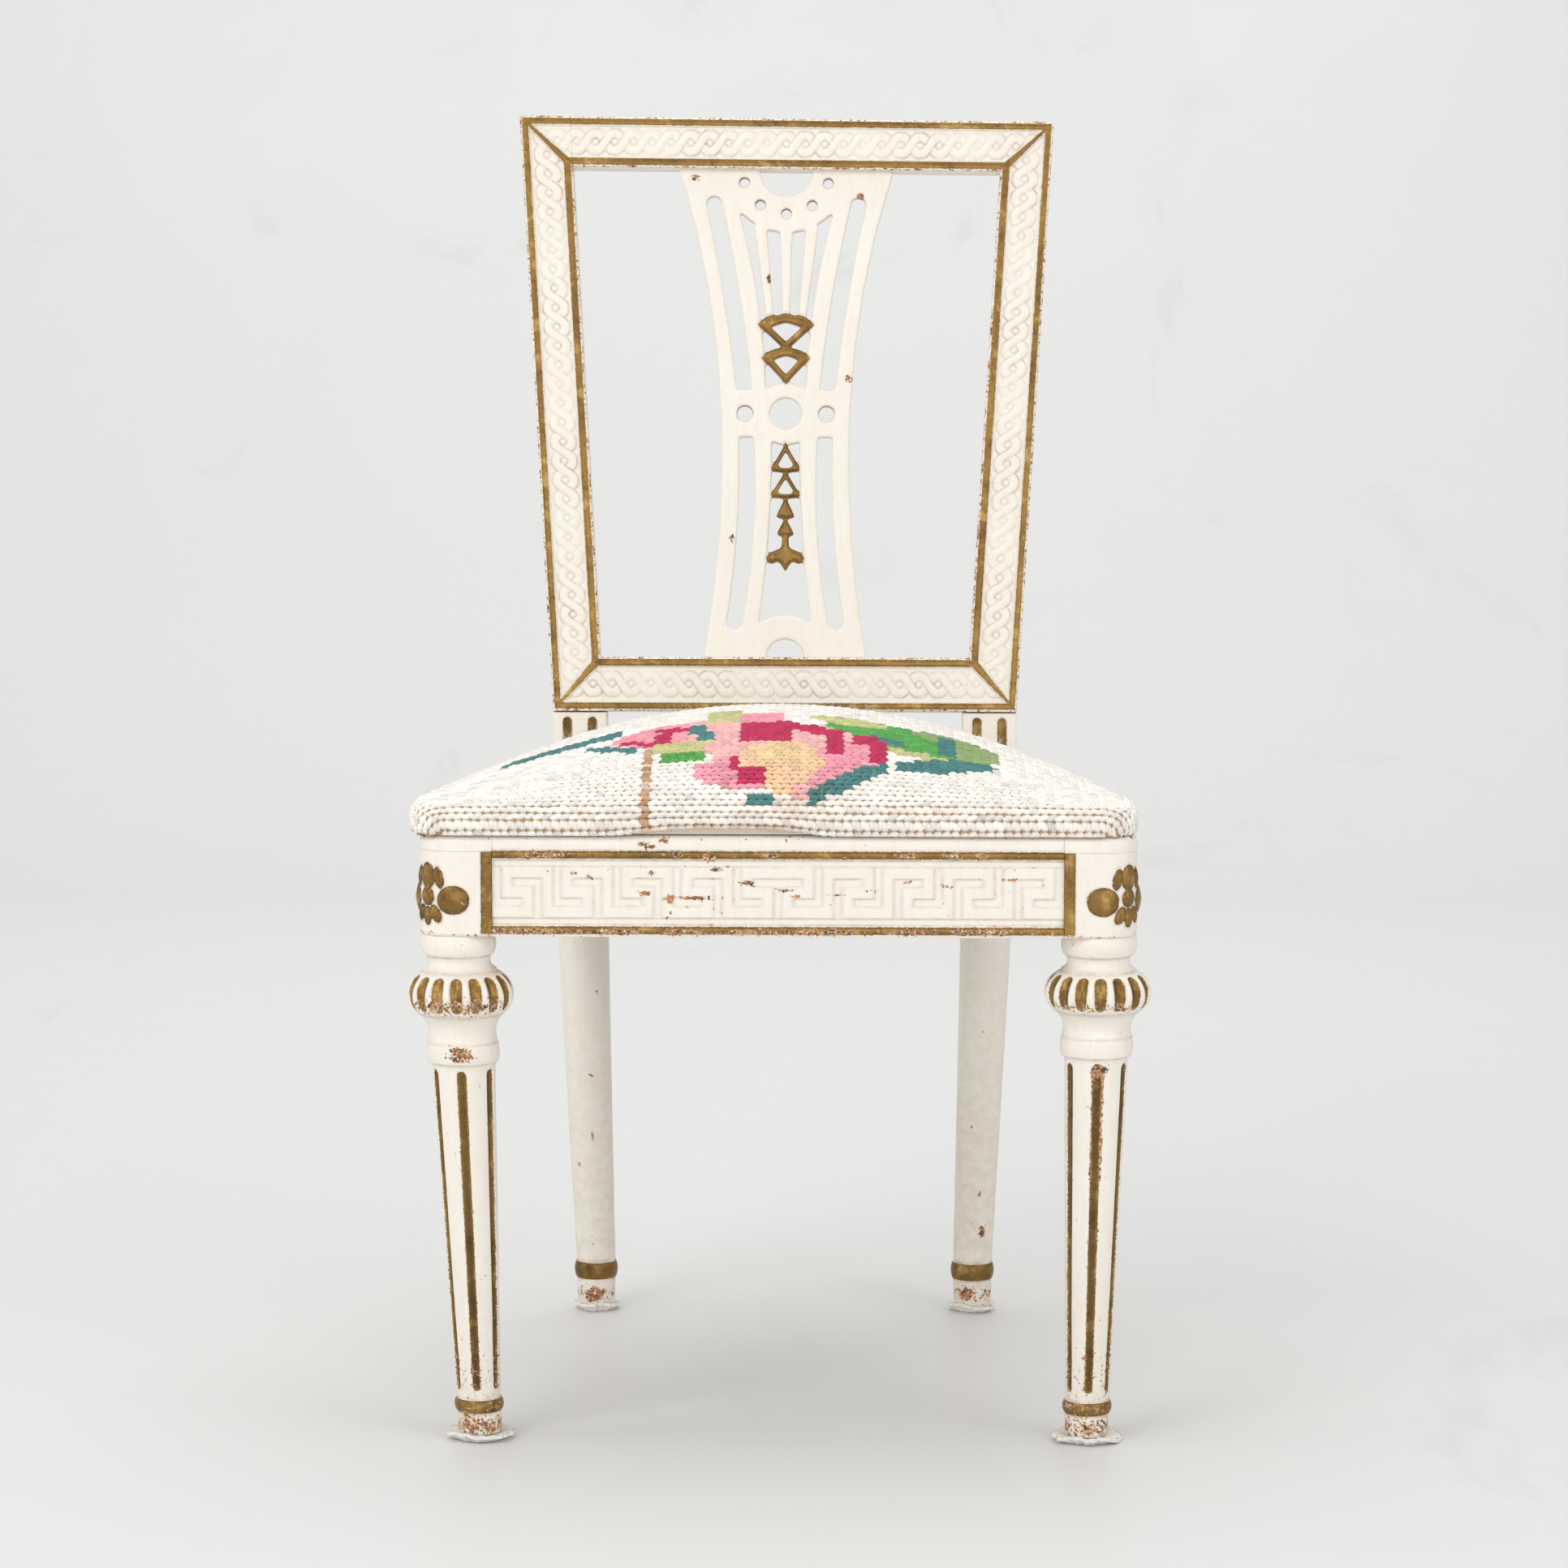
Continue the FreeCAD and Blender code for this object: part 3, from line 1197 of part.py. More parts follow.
def seat_layers():
    foot = RAIL_TOP + COVER_LIFT
    below = RAIL_TOP - BELLY_HEIGHT
    lining_out = COVER_THICKNESS + LAYER_GAP
    lining_in = lining_out + LINING_THICKNESS
    core = lining_in + LAYER_GAP
    cover = dome(0, foot).cut(dome(COVER_THICKNESS, below))
    lining = dome(lining_out, foot).cut(dome(lining_in, below))
    pocket = seat_prism(SEAT_CLEARANCE - 2 * LAYER_GAP, FRAME_REAR_GAP, 0, HESSIAN_TOP + LAYER_GAP)
    stuffing = dome(core, foot).cut(pocket)
    return {"seat_cover": cover, "seat_lining": lining, "seat_stuffing": stuffing}


# Felt pads

def felt_pad(x, y, diameter):
    """Felt disc cut by hand, in short straight snips."""
    plan = []
    for index in range(FELT_SNIPS):
        turn = 2 * math.pi * (index + 0.5) / FELT_SNIPS
        plan.append((x + diameter / 2 * math.cos(turn), y + diameter / 2 * math.sin(turn)))
    return plan_prism(plan, 0, FELT_THICKNESS)


def felt_pads():
    front_x = LEG_X - FRONT_FOOT_LEAN * (RAIL_BOTTOM - FELT_THICKNESS) / RAIL_BOTTOM
    rear_z = FELT_THICKNESS + REAR_FOOT_HEIGHT + REAR_ANKLE_HEIGHT
    rear_x, rear_y = rear_leg_centre(rear_z)
    return {"front_left_felt_pad": felt_pad(-front_x, 0, FRONT_FELT_DIAMETER),
            "front_right_felt_pad": felt_pad(front_x, 0, FRONT_FELT_DIAMETER),
            "rear_left_felt_pad": felt_pad(-rear_x, rear_y, REAR_FELT_DIAMETER),
            "rear_right_felt_pad": felt_pad(rear_x, rear_y, REAR_FELT_DIAMETER)}


def peg_groups():
    seat = [box(*front_rail_peg()), box(*side_rail_peg()), box(*rear_rail_peg())]
    back = [raised(box(*back_peg(*level))) for level in (CREST, LOWER)]
    return {"seat_rail_pegs": Part.makeCompound(seat + [mirrored(p) for p in seat]),
            "back_pegs": Part.makeCompound(back + [mirrored(p) for p in back])}


def build():
    holes = all_nails(FIT)
    both = holes + [mirrored(h) for h in holes]
    right_front = front_leg()
    right_rear = rear_leg()
    right_side = side_rail().cut(holes)
    front_corner = corner_block(FRONT_CORNER)
    rear_corner = corner_block(REAR_CORNER)
    nodes = {"right_front_leg": right_front, "left_front_leg": mirrored(right_front),
             "right_rear_leg": right_rear, "left_rear_leg": mirrored(right_rear),
             "right_seat_rail": right_side, "left_seat_rail": mirrored(right_side),
             "front_seat_rail": front_rail().cut(both), "rear_seat_rail": rear_rail().cut(both),
             "crest_rail": back_rail(*CREST, SPLAT_TOP_HALF, CREST[0], 1),
             "lower_back_rail": back_rail(*LOWER, SPLAT_FOOT_HALF, LOWER[1], -1),
             "back_splat": back_splat(),
             "front_right_corner_block": front_corner, "front_left_corner_block": mirrored(front_corner),
             "rear_right_corner_block": rear_corner, "rear_left_corner_block": mirrored(rear_corner),
             "corner_block_nails": nail_group(),
             "webbing_crosswise": crosswise_webbing(), "webbing_lengthwise": lengthwise_webbing(),
             "webbing_tacks": tacks(),
             "seat_hessian": seat_prism(SEAT_CLEARANCE + HESSIAN_INSET, FRAME_REAR_GAP,
                                        HESSIAN_FOOT, HESSIAN_TOP)}
    nodes.update(peg_groups())
    nodes.update(felt_pads())
    nodes.update(battens())
    nodes.update(seat_layers())
    return nodes


def main():
    os.makedirs("parts", exist_ok=True)
    nodes = build()
    whole = Part.makeCompound(list(nodes.values())).optimalBoundingBox(False, False)
    shift = Vector(0, -(whole.YMin + whole.YMax) / 2, 0)
    print("middle of the depth from the front leg axes:", round(-shift.y, 3))
    for name, shape in nodes.items():
        shape.translate(shift)
        shape.exportStep("parts/" + name + ".step")


main()
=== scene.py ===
import math

import bmesh
import bpy
import numpy as np
from mathutils import Matrix, Vector


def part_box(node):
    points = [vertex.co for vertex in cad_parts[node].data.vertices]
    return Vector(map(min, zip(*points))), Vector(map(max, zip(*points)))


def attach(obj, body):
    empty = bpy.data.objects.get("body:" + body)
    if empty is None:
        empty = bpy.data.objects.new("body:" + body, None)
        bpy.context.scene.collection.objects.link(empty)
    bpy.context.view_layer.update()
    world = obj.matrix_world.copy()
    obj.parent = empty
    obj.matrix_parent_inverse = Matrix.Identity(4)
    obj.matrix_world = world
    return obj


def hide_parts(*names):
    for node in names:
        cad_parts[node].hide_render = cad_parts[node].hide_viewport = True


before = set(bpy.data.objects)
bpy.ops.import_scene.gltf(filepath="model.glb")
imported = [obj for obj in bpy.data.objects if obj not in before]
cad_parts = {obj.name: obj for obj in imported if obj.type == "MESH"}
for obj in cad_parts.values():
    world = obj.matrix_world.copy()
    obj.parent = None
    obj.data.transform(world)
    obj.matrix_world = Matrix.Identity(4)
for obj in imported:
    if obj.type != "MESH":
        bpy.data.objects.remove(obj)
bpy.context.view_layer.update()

# Sizes are in millimetres, with y = 0 at the front leg axes, as in the part's source.
pad_low, pad_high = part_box("front_left_felt_pad")
SHIFT = -500.0 * (pad_low.y + pad_high.y)

LEG_X, FOOT_LEAN, FOOT_SHIFT = 220.0, 10.0, 4.0
BLOCK_HALF, BLOCK_ROUND, BAR_WIDTH, BAR_PROUD = 25.5, 24.0, 7.5, 0.8
BLOCK_IN, BLOCK_OUT = LEG_X - BLOCK_HALF, LEG_X + BLOCK_HALF
RAIL_TOP, RAIL_BOTTOM, REBATE_FLOOR = 425.0, 355.0, 413.0
RAIL_THICKNESS, RAIL_LIP, TOP_ROUND = 26.0, 12.0, 7.0
SEAT_DEPTH, POST_X, POST_HALF, POST_DEPTH = 357.5, 156.0, 20.5, 41.0
POST_OUT, POST_BOTTOM = POST_X + POST_HALF, 340.0
SIDE_RUN = SEAT_DEPTH - BLOCK_HALF
SIDE_SLOPE = (BLOCK_OUT - POST_OUT) / SIDE_RUN
SIDE_ANGLE = math.atan(SIDE_SLOPE)
BACK_Y, BACK_Z = SEAT_DEPTH + 4.5, RAIL_TOP + 47.4
BACK_LENGTH, BACK_RAKE, BACK_TOP_HALF = 453.0, math.radians(7.93), 204.2
STILE_FACE, CREST_FACE, LOWER_FACE, STILE_THICKNESS = 38.5, 38.4, 41.0, 24.0
FELT = 4.0
# How far age has racked the crest, and how far the backs are drawn in so that the pegs stand proud.
RACK, PEG_STAND = 2.2, 0.25
# Distance given to points that lie well outside every gilt or carved shape.
OUTSIDE = -9.0

rng = np.random.default_rng(7)


def smoothstep(x, a, b):
    t = np.clip((x - a) / (b - a), 0.0, 1.0)
    return t * t * (3 - 2 * t)


def hump(x, reach, middle=0.0):
    """Smooth rise to 1 where x is at the middle."""
    return np.exp(-((x - middle) / reach) ** 2)


def humps(x, rows):
    """Humps added up, from (middle, reach, strength) rows."""
    return sum(strength * hump(x, reach, middle) for middle, reach, strength in rows)


def vault(x):
    """Round rise from 0 to 1, steep at first."""
    return np.sqrt(np.clip(x, 0, 1))


def edge_round(distance, reach):
    """Share by which a rounded edge falls away at a distance from it."""
    return 1 - vault(1 - (1 - np.clip(distance / reach, 0, 1)) ** 2)


def grid_quads(index):
    """Faces of one or more grids of point numbers."""
    corners = (index[..., :-1, :-1], index[..., 1:, :-1], index[..., 1:, 1:], index[..., :-1, 1:])
    return np.stack(corners, -1).reshape(-1, 4)


def hand(side):
    return "right" if side > 0 else "left"


def wobble(p, scale, seed):
    """Smooth irregularity from a few sine waves, about -1 to 1, with features about scale apart."""
    local = np.random.default_rng(seed)
    total = np.zeros(p.shape[:-1])
    for _ in range(6):
        wave = local.normal(size=3)
        wave *= 2 * math.pi / scale / np.linalg.norm(wave) * local.uniform(0.5, 1.3)
        total = total + np.sin(p @ wave + local.uniform(0, 6.28))
    return total / 3.0


def side_x(y, inset):
    return BLOCK_OUT - (y - BLOCK_HALF) * SIDE_SLOPE - inset / math.cos(SIDE_ANGLE)


def on_back(p):
    """Points (x, depth, height up the slope) of the leaning back, brought into the model.

    The old joints have racked a little, so that the crest slopes down to the right."""
    c, s = math.cos(BACK_RAKE), math.sin(BACK_RAKE)
    out = np.empty_like(p)
    out[..., 0] = p[..., 0]
    out[..., 1] = BACK_Y + p[..., 2] * s + p[..., 1] * c
    out[..., 2] = BACK_Z + p[..., 2] * c - p[..., 1] * s
    out[..., 2] -= RACK * p[..., 0] / BACK_TOP_HALF * p[..., 2] / BACK_LENGTH
    return out


class Build:
    """Collects grids of points, with their paint values, for one object."""

    def __init__(self):
        self.points, self.faces, self.values, self.rims, self.count = [], [], [], [], 0

    def add(self, p, gold=None, worn=None, grime_and_shade=None, wrap_v=False, flip=False, caps=False):
        n, m = p.shape[:2]
        index = self.count + np.arange(n * m).reshape(n, m)
        if wrap_v:
            index = np.hstack([index, index[:, :1]])
        quads = grid_quads(index)
        self.faces += (quads[:, ::-1] if flip else quads).tolist()
        if caps:
            first, last = index[0, :m], index[n - 1, :m]
            for rim in (first, last):
                self.rims.append(np.sort(np.stack([rim, np.roll(rim, 1)], -1), -1))
            self.faces.append((first[::-1] if flip else first).tolist())
            self.faces.append((last if flip else last[::-1]).tolist())
        self.points.append(p.reshape(-1, 3))
        full = [np.full((n, m), d) if v is None else np.broadcast_to(v, (n, m))
                for v, d in ((gold, OUTSIDE), (worn, 0.0), (grime_and_shade, 0.0))]
        self.values.append(np.stack(full, -1).reshape(-1, 3))
        self.count += n * m

    def solid(self, p, gold=None, worn=None, grime_and_shade=None, flip=False):
        """A tube of points with closed ends."""
        self.add(p, gold, worn, grime_and_shade, wrap_v=True, flip=flip, caps=True)

    def object(self, name, material, body, slot, nodes, mirror=False):
        points = np.vstack(self.points).copy()
        faces = self.faces
        if mirror:
            points[:, 0] *= -1
            faces = [f[::-1] for f in faces]
        values = np.vstack(self.values) - (OUTSIDE, 0.0, 0.0)
        points[:, 1] -= SHIFT
        mesh = bpy.data.meshes.new(name)
        mesh.from_pydata((points / 1000.0).tolist(), [], faces)
        paint_values(mesh, values.T)
        if self.rims:
            ends = np.empty(len(mesh.edges) * 2, np.int64)
            mesh.edges.foreach_get("vertices", ends)
            ends = np.sort(ends.reshape(-1, 2), -1)
            rims = np.vstack(self.rims)
            sharp = np.isin(ends @ (self.count, 1), rims @ (self.count, 1))
            mesh.attributes.new("sharp_edge", "BOOLEAN", "EDGE").data.foreach_set("value", sharp)
        return place(name, mesh, material, body, slot, nodes)

    def painted(self, name, node, mirror=False):
        return self.object(name, PAINT, "chair_frame", "painted_wood", [node], mirror)


def paint_values(mesh, columns):
    """Gives every point of the mesh its share of gold, wear, and grime with painted shade."""
    for key, column in zip(("gold", "worn", "grime_and_shade"), columns):
        layer = mesh.attributes.new(key, "FLOAT", "POINT")
        layer.data.foreach_set("value", column.astype(np.float32))


def thicken(obj, thickness, offset=0.0):
    """Thickness in millimetres for a piece that is made as one sheet."""
    modifier = obj.modifiers.new("thick", "SOLIDIFY")
    modifier.thickness, modifier.offset = thickness / 1000, offset


def place(name, mesh, material, body, slot, nodes):
    mesh.update()
    mesh.shade_smooth()
    obj = bpy.data.objects.new(name, mesh)
    bpy.context.scene.collection.objects.link(obj)
    mesh.materials.append(material)
    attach(obj, body)
    if nodes:
        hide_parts(*nodes)
    return obj


# Materials

class Graph:
    """Short way to write a node tree."""

    def __init__(self, name):
        self.material = bpy.data.materials.new(name)
        self.material.use_nodes = True
        self.tree = self.material.node_tree
        self.shader = self.tree.nodes["Principled BSDF"]

    def node(self, kind, **settings):
        made = self.tree.nodes.new("ShaderNode" + kind)
        for key, value in settings.items():
            setattr(made, key, value)
        return made

    def put(self, socket, value):
        if isinstance(value, bpy.types.NodeSocket):
            self.tree.links.new(value, socket)
        else:
            socket.default_value = value

    def set(self, **values):
        for key, value in values.items():
            self.put(self.shader.inputs[key.replace("_", " ")], value)

    def attribute(self, name):
        return self.node("Attribute", attribute_name=name).outputs["Fac"]

    def coords(self, stretch=(1, 1, 1)):
        source = self.node("TexCoord").outputs["Object"]
        if stretch == (1, 1, 1):
            return source
        mapping = self.node("Mapping")
        self.put(mapping.inputs["Vector"], source)
        mapping.inputs["Scale"].default_value = stretch
        return mapping.outputs["Vector"]

    def noise(self, scale, detail=4.0, rough=0.55, vector=None, distortion=0.0):
        made = self.node("TexNoise")
        self.put(made.inputs["Vector"], vector or self.coords())
        made.inputs["Scale"].default_value = scale
        made.inputs["Detail"].default_value = detail
        made.inputs["Roughness"].default_value = rough
        made.inputs["Distortion"].default_value = distortion
        return made.outputs["Fac"]

    def math(self, operation, a, b=0.0):
        made = self.node("Math", operation=operation)
        self.put(made.inputs[0], a)
        self.put(made.inputs[1], b)
        return made.outputs[0]

    def step(self, value, low, high, to_low=0.0, to_high=1.0):
        made = self.node("MapRange", interpolation_type="SMOOTHSTEP")
        for key, item in (("Value", value), ("From Min", low), ("From Max", high),
                          ("To Min", to_low), ("To Max", to_high)):
            self.put(made.inputs[key], item)
        return made.outputs["Result"]

    def mix(self, factor, a, b, blend="MIX"):
        made = self.node("Mix", data_type="RGBA", blend_type=blend)
        self.put(made.inputs[0], factor)
        for socket, value in ((made.inputs[6], a), (made.inputs[7], b)):
            self.put(socket, value if isinstance(value, bpy.types.NodeSocket) else (*value, 1.0))
        return made.outputs[2]

    def bump(self, height, distance, strength=1.0, normal=None):
        made = self.node("Bump")
        self.put(made.inputs["Height"], height)
        made.inputs["Distance"].default_value = distance
        made.inputs["Strength"].default_value = strength
        if normal is not None:
            self.put(made.inputs["Normal"], normal)
        return made.outputs["Normal"]


def painted_wood():
    g = Graph("old_cream_paint")
    fine, broad = g.noise(520, 5, 0.6), g.noise(16, 3)
    flakes, specks = g.noise(135, 8, 0.62, distortion=0.4), g.noise(430, 3, 0.5)
    brush = g.noise(260, 4, 0.6, g.coords((1.0, 1.0, 0.16)))
    fine_shift = g.math("SUBTRACT", fine, 0.5)
    inside = g.math("ADD", g.attribute("gold"), OUTSIDE)
    edge = g.math("ADD", inside, g.math("MULTIPLY", fine_shift, 1.6))
    gold = g.step(edge, -0.12, 0.22)
    worn = g.attribute("worn")
    large = g.math("ADD", flakes, g.math("MULTIPLY", worn, 0.55))
    large = g.math("ADD", large, g.math("MULTIPLY", fine_shift, 0.22))
    small = g.math("ADD", specks, g.math("MULTIPLY", worn, 0.42))
    bare = g.math("MAXIMUM", g.step(large, 0.86, 0.88), g.step(small, 0.79, 0.812))
    rim = g.math("MAXIMUM", g.step(large, 0.815, 0.845), g.step(small, 0.762, 0.79))
    cream = g.mix(broad, (0.80, 0.745, 0.66), (0.86, 0.81, 0.74))
    cream = g.mix(g.step(brush, 0.42, 0.75, 0.0, 0.35), cream, (0.76, 0.68, 0.565))
    # Grime and painted shade in hollows, flutes and holes, with a painted warm bounce light on the rear
    # legs, darken the cream here and the bronze below.
    grime_and_shade = g.attribute("grime_and_shade")
    grime_and_shade_share = g.math("MULTIPLY", grime_and_shade, g.step(g.noise(140, 4), 0.3, 0.7, 0.25, 1.0))
    cream = g.mix(grime_and_shade_share, cream, (0.36, 0.24, 0.13))
    bronze = g.mix(g.noise(330, 5, 0.65), (0.16, 0.082, 0.014), (0.40, 0.23, 0.055))
    bronze = g.mix(g.step(broad, 0.4, 0.65, 0.0, 0.55), bronze, (0.13, 0.066, 0.014))
    patchy = g.noise(75, 5, 0.6)
    bronze = g.mix(g.step(patchy, 0.52, 0.70, 0.0, 0.65), bronze, (0.085, 0.042, 0.010))
    bronze = g.mix(g.step(patchy, 0.46, 0.32, 0.0, 0.55), bronze, (0.56, 0.36, 0.11))
    bronze = g.mix(g.math("MULTIPLY", grime_and_shade, 0.85), bronze, (0.060, 0.034, 0.010))
    wood = g.mix(g.step(g.noise(210, 5, 0.65), 0.38, 0.62), (0.085, 0.036, 0.016), (0.47, 0.19, 0.06))
    gesso = g.step(g.noise(480, 4, 0.6), 0.54, 0.60)
    wood = g.mix(g.math("MULTIPLY", gesso, 0.8), wood, (0.82, 0.70, 0.55))
    color = g.mix(gold, cream, bronze)
    color = g.mix(rim, color, (0.82, 0.58, 0.36))
    color = g.mix(bare, color, wood)
    whole = g.math("SUBTRACT", 1.0, rim)
    shine = g.math("MULTIPLY", gold, whole)
    g.set(Base_Color=color, Metallic=g.math("MULTIPLY", shine, 0.55))
    g.set(Roughness=g.step(shine, 0.0, 1.0, 0.52, 0.36))
    lumps = g.bump(g.noise(70, 3), 0.0013, 0.6)
    height = g.math("ADD", g.math("MULTIPLY", brush, 0.35), g.math("MULTIPLY", fine, 0.12))
    loss = g.math("ADD", g.math("MULTIPLY", rim, 0.5), g.math("MULTIPLY", bare, 0.7))
    g.set(Normal=g.bump(g.math("SUBTRACT", height, loss), 0.0005, 0.8, lumps))
    return g.material


def bare_wood():
    g = Graph("bare_pine")
    grain = g.noise(60, 6, 0.6, g.coords((1.0, 0.12, 1.0)), 1.2)
    color = g.mix(grain, (0.30, 0.18, 0.09), (0.58, 0.40, 0.23))
    color = g.mix(g.step(g.noise(20, 4), 0.4, 0.75, 0.0, 0.6), color, (0.22, 0.15, 0.09))
    g.set(Base_Color=color, Roughness=g.step(grain, 0.2, 0.8, 0.75, 0.6), Normal=g.bump(grain, 0.0006))
    return g.material


def iron():
    g = Graph("forged_iron")
    rust = g.noise(420, 6, 0.7)
    g.set(Base_Color=g.mix(rust, (0.05, 0.045, 0.042), (0.19, 0.10, 0.06)), Metallic=0.8,
          Roughness=g.step(rust, 0.3, 0.7, 0.5, 0.8), Normal=g.bump(rust, 0.0003))
    return g.material


def woven(name, dark, light, pitch, across="X", along="Y"):
    """Plain weave whose threads run along two axes of the model."""
    g = Graph(name)
    source = g.node("SeparateXYZ")
    g.put(source.inputs[0], g.coords())
    turn = 2 * math.pi / pitch
    u = g.math("MULTIPLY", source.outputs[across], turn)
    v = g.math("MULTIPLY", source.outputs[along], turn)
    weave = g.math("MULTIPLY", g.math("SINE", u), g.math("SINE", v))
    height = g.math("ADD", weave, g.math("MULTIPLY", g.noise(900, 3), 0.9))
    fibre = g.noise(700, 5, 0.7)
    color = g.mix(g.step(height, -0.4, 1.2), dark, light)
    color = g.mix(g.math("MULTIPLY", fibre, 0.35), color, dark)
    g.set(Base_Color=color, Roughness=0.92, Normal=g.bump(height, pitch * 0.22))
    g.set(Sheen_Weight=0.25)
    return g.material


def felt_cloth():
    g = Graph("white_felt")
    fibre, tuft = g.noise(900, 8, 0.75, distortion=2.0), g.noise(210, 5, 0.6, distortion=1.0)
    color = g.mix(fibre, (0.90, 0.85, 0.77), (0.99, 0.965, 0.91))
    color = g.mix(g.step(tuft, 0.5, 0.8, 0.0, 0.3), color, (0.74, 0.66, 0.55))
    g.set(Base_Color=color, Roughness=0.95, Normal=g.bump(g.math("ADD", fibre, tuft), 0.0007))
    g.set(Sheen_Weight=0.5)
    return g.material


def curled_hair():
    g = Graph("curled_hair")
    strand = g.noise(500, 7, 0.7, distortion=3.0)
    g.set(Base_Color=g.mix(strand, (0.05, 0.035, 0.025), (0.30, 0.22, 0.15)), Roughness=0.8,
          Normal=g.bump(strand, 0.002))
    return g.material


def needlework():
    """Wool: its colour comes with the mesh, the twist of the yarn from the mesh's own coordinates; the
    yarn's flanks and twist carry painted shade.
    """
    g = Graph("wool_needlepoint")
    parts = g.node("SeparateXYZ")
    g.put(parts.inputs[0], g.node("UVMap", uv_map="yarn").outputs["UV"])
    along, across = parts.outputs["X"], parts.outputs["Y"]
    wave = g.math("ADD", g.math("MULTIPLY", along, 3.0), g.math("MULTIPLY", across, 0.8))
    twist = g.math("SINE", g.math("MULTIPLY", wave, 2 * math.pi))
    flank = g.step(g.math("ABSOLUTE", g.math("SUBTRACT", across, 0.5)), 0.26, 0.5, 0.0, 0.5)
    fuzz = g.noise(1500, 4, 0.7)
    tint = g.node("Attribute", attribute_name="wool").outputs["Color"]
    # Painted shade: the yarn's flanks and the troughs of its twist are darkened towards this colour.
    shade = g.mix(1.0, tint, (0.46, 0.36, 0.27), "MULTIPLY")
    color = g.mix(flank, tint, shade)
    color = g.mix(g.step(twist, -1.0, 0.2, 0.20, 0.0), color, shade)
    color = g.mix(g.math("MULTIPLY", fuzz, 0.05), color, (0.95, 0.92, 0.86))
    height = g.math("ADD", g.math("MULTIPLY", twist, 0.4), g.math("MULTIPLY", fuzz, 0.8))
    g.set(Base_Color=color, Roughness=0.9, Normal=g.bump(height, 0.0004, 0.9))
    return g.material


PAINT, PINE, IRON = painted_wood(), bare_wood(), iron()
LINEN = woven("undyed_linen", (0.60, 0.52, 0.40), (0.92, 0.86, 0.74), 0.0011)
HESSIAN = woven("open_hessian", (0.20, 0.13, 0.07), (0.56, 0.42, 0.26), 0.0026)
JUTE = woven("jute_webbing", (0.22, 0.14, 0.07), (0.60, 0.46, 0.28), 0.0034)
FELT_CLOTH, HAIR, WOOL = felt_cloth(), curled_hair(), needlework()


# Turned and carved front legs

def arc_run(start, middle, end, spacing):
    """Points (radius, z) along a circular arc."""
    (x1, y1), (x2, y2), (x3, y3) = start, middle, end
    d = 2 * (x1 * (y2 - y3) + x2 * (y3 - y1) + x3 * (y1 - y2))
    a, b, c = x1 * x1 + y1 * y1, x2 * x2 + y2 * y2, x3 * x3 + y3 * y3
    cx = (a * (y2 - y3) + b * (y3 - y1) + c * (y1 - y2)) / d
    cy = (a * (x3 - x2) + b * (x1 - x3) + c * (x2 - x1)) / d
    t = np.unwrap([math.atan2(y - cy, x - cx) for x, y in (start, middle, end)])
    radius = math.hypot(x1 - cx, y1 - cy)
    count = max(4, int(abs(t[2] - t[0]) * radius / spacing))
    turns = np.linspace(t[0], t[2], count + 1)
    return np.stack([cx + radius * np.cos(turns), cy + radius * np.sin(turns)], -1)


def straight_run(start, end, spacing):
    count = max(1, int(math.dist(start, end) / spacing))
    return np.linspace(start, end, count + 1)


def turned_profile(rows):
    """Arcs and straight runs of (radius, z) points joined, without the points that two of them share."""
    rows = np.vstack([arc_run(*row) if len(row) == 4 else straight_run(*row) for row in rows])
    apart = np.r_[True, np.hypot(*np.diff(rows, axis=0).T) > 1e-6]
    return rows[apart]


def capsule(u, v, low, high, half):
    """Signed distance inside a round ended slot along v; half may change along it."""
    return half - np.hypot(u, v - np.clip(v, low + half, high - half))


def full_turn(count):
    return np.arange(count) * 2 * math.pi / count


def polar(radius, z, count):
    turn = full_turn(count)
    p = np.empty((len(z), count, 3))
    p[..., 0] = radius * np.cos(turn)
    p[..., 1] = radius * np.sin(turn)
    p[..., 2] = z[:, None]
    return p


def from_nearest(turn, count, start=0.0):
    """Angle from the nearest of count marks round a circle."""
    period = 2 * math.pi / count
    return (turn + start + period / 2) % period - period / 2


# Profile of the front leg from the top: the (radius, z) ends of each run, with a point between them for an
# arc, and the spacing of its points.
LEG_RUNS = (((1.0, 356.5), (22.0, 356.5), 6), ((22.0, 356.5), (22.6, 355), 2),
            ((24.3, 354.6), (26.0, 347), (24.2, 340.2), 0.9), ((24.2, 340.2), (22.4, 339.0), 0.8),
            ((22.3, 338.6), (21.4, 335.0), (25.3, 329.6), 0.8), ((25.5, 329.5), (25.5, 327.6), 0.8),
            ((26.8, 327.4), (35.6, 314.5), (30.2, 299.2), 0.6),
            ((29.8, 298.8), (24.4, 291.5), (24.2, 280.2), 1.0), ((24.2, 280.0), (24.0, 278.6), 0.8),
            ((24.6, 278.3), (25.3, 272.0), (24.4, 265.8), 1.0), ((24.4, 265.4), (22.1, 265.0), 0.8),
            ((22.0, 264.8), (21.4, 250.0), 0.9), ((21.4, 250.0), (15.5, 42.0), 2.2),
            ((15.5, 42.0), (14.9, 29.8), 0.9), ((14.9, 29.6), (15.6, 29.3), 0.6),
            ((15.7, 29.2), (17.1, 24.8), (15.7, 20.4), 0.7), ((15.5, 20.1), (15.2, 19.4), 0.6),
            ((15.2, 19.2), (14.6, 6.0), 1.1), ((14.4, 5.2), (12.0, 4.1), 0.9), ((11.0, 4.0), (0.6, 4.0), 4))
LEG_SIDES, GADROONS, GADROON_DEPTH, FLUTES, FLUTE_DEPTH = 240, 16, 2.5, 6, 2.3
BULB_TOP, BULB_FOOT, FLUTE_TOP, FLUTE_FOOT = 327.5, 299.1, 261.0, 36.0
ANKLE_TOP, ANKLE_FOOT = 29.4, 20.2
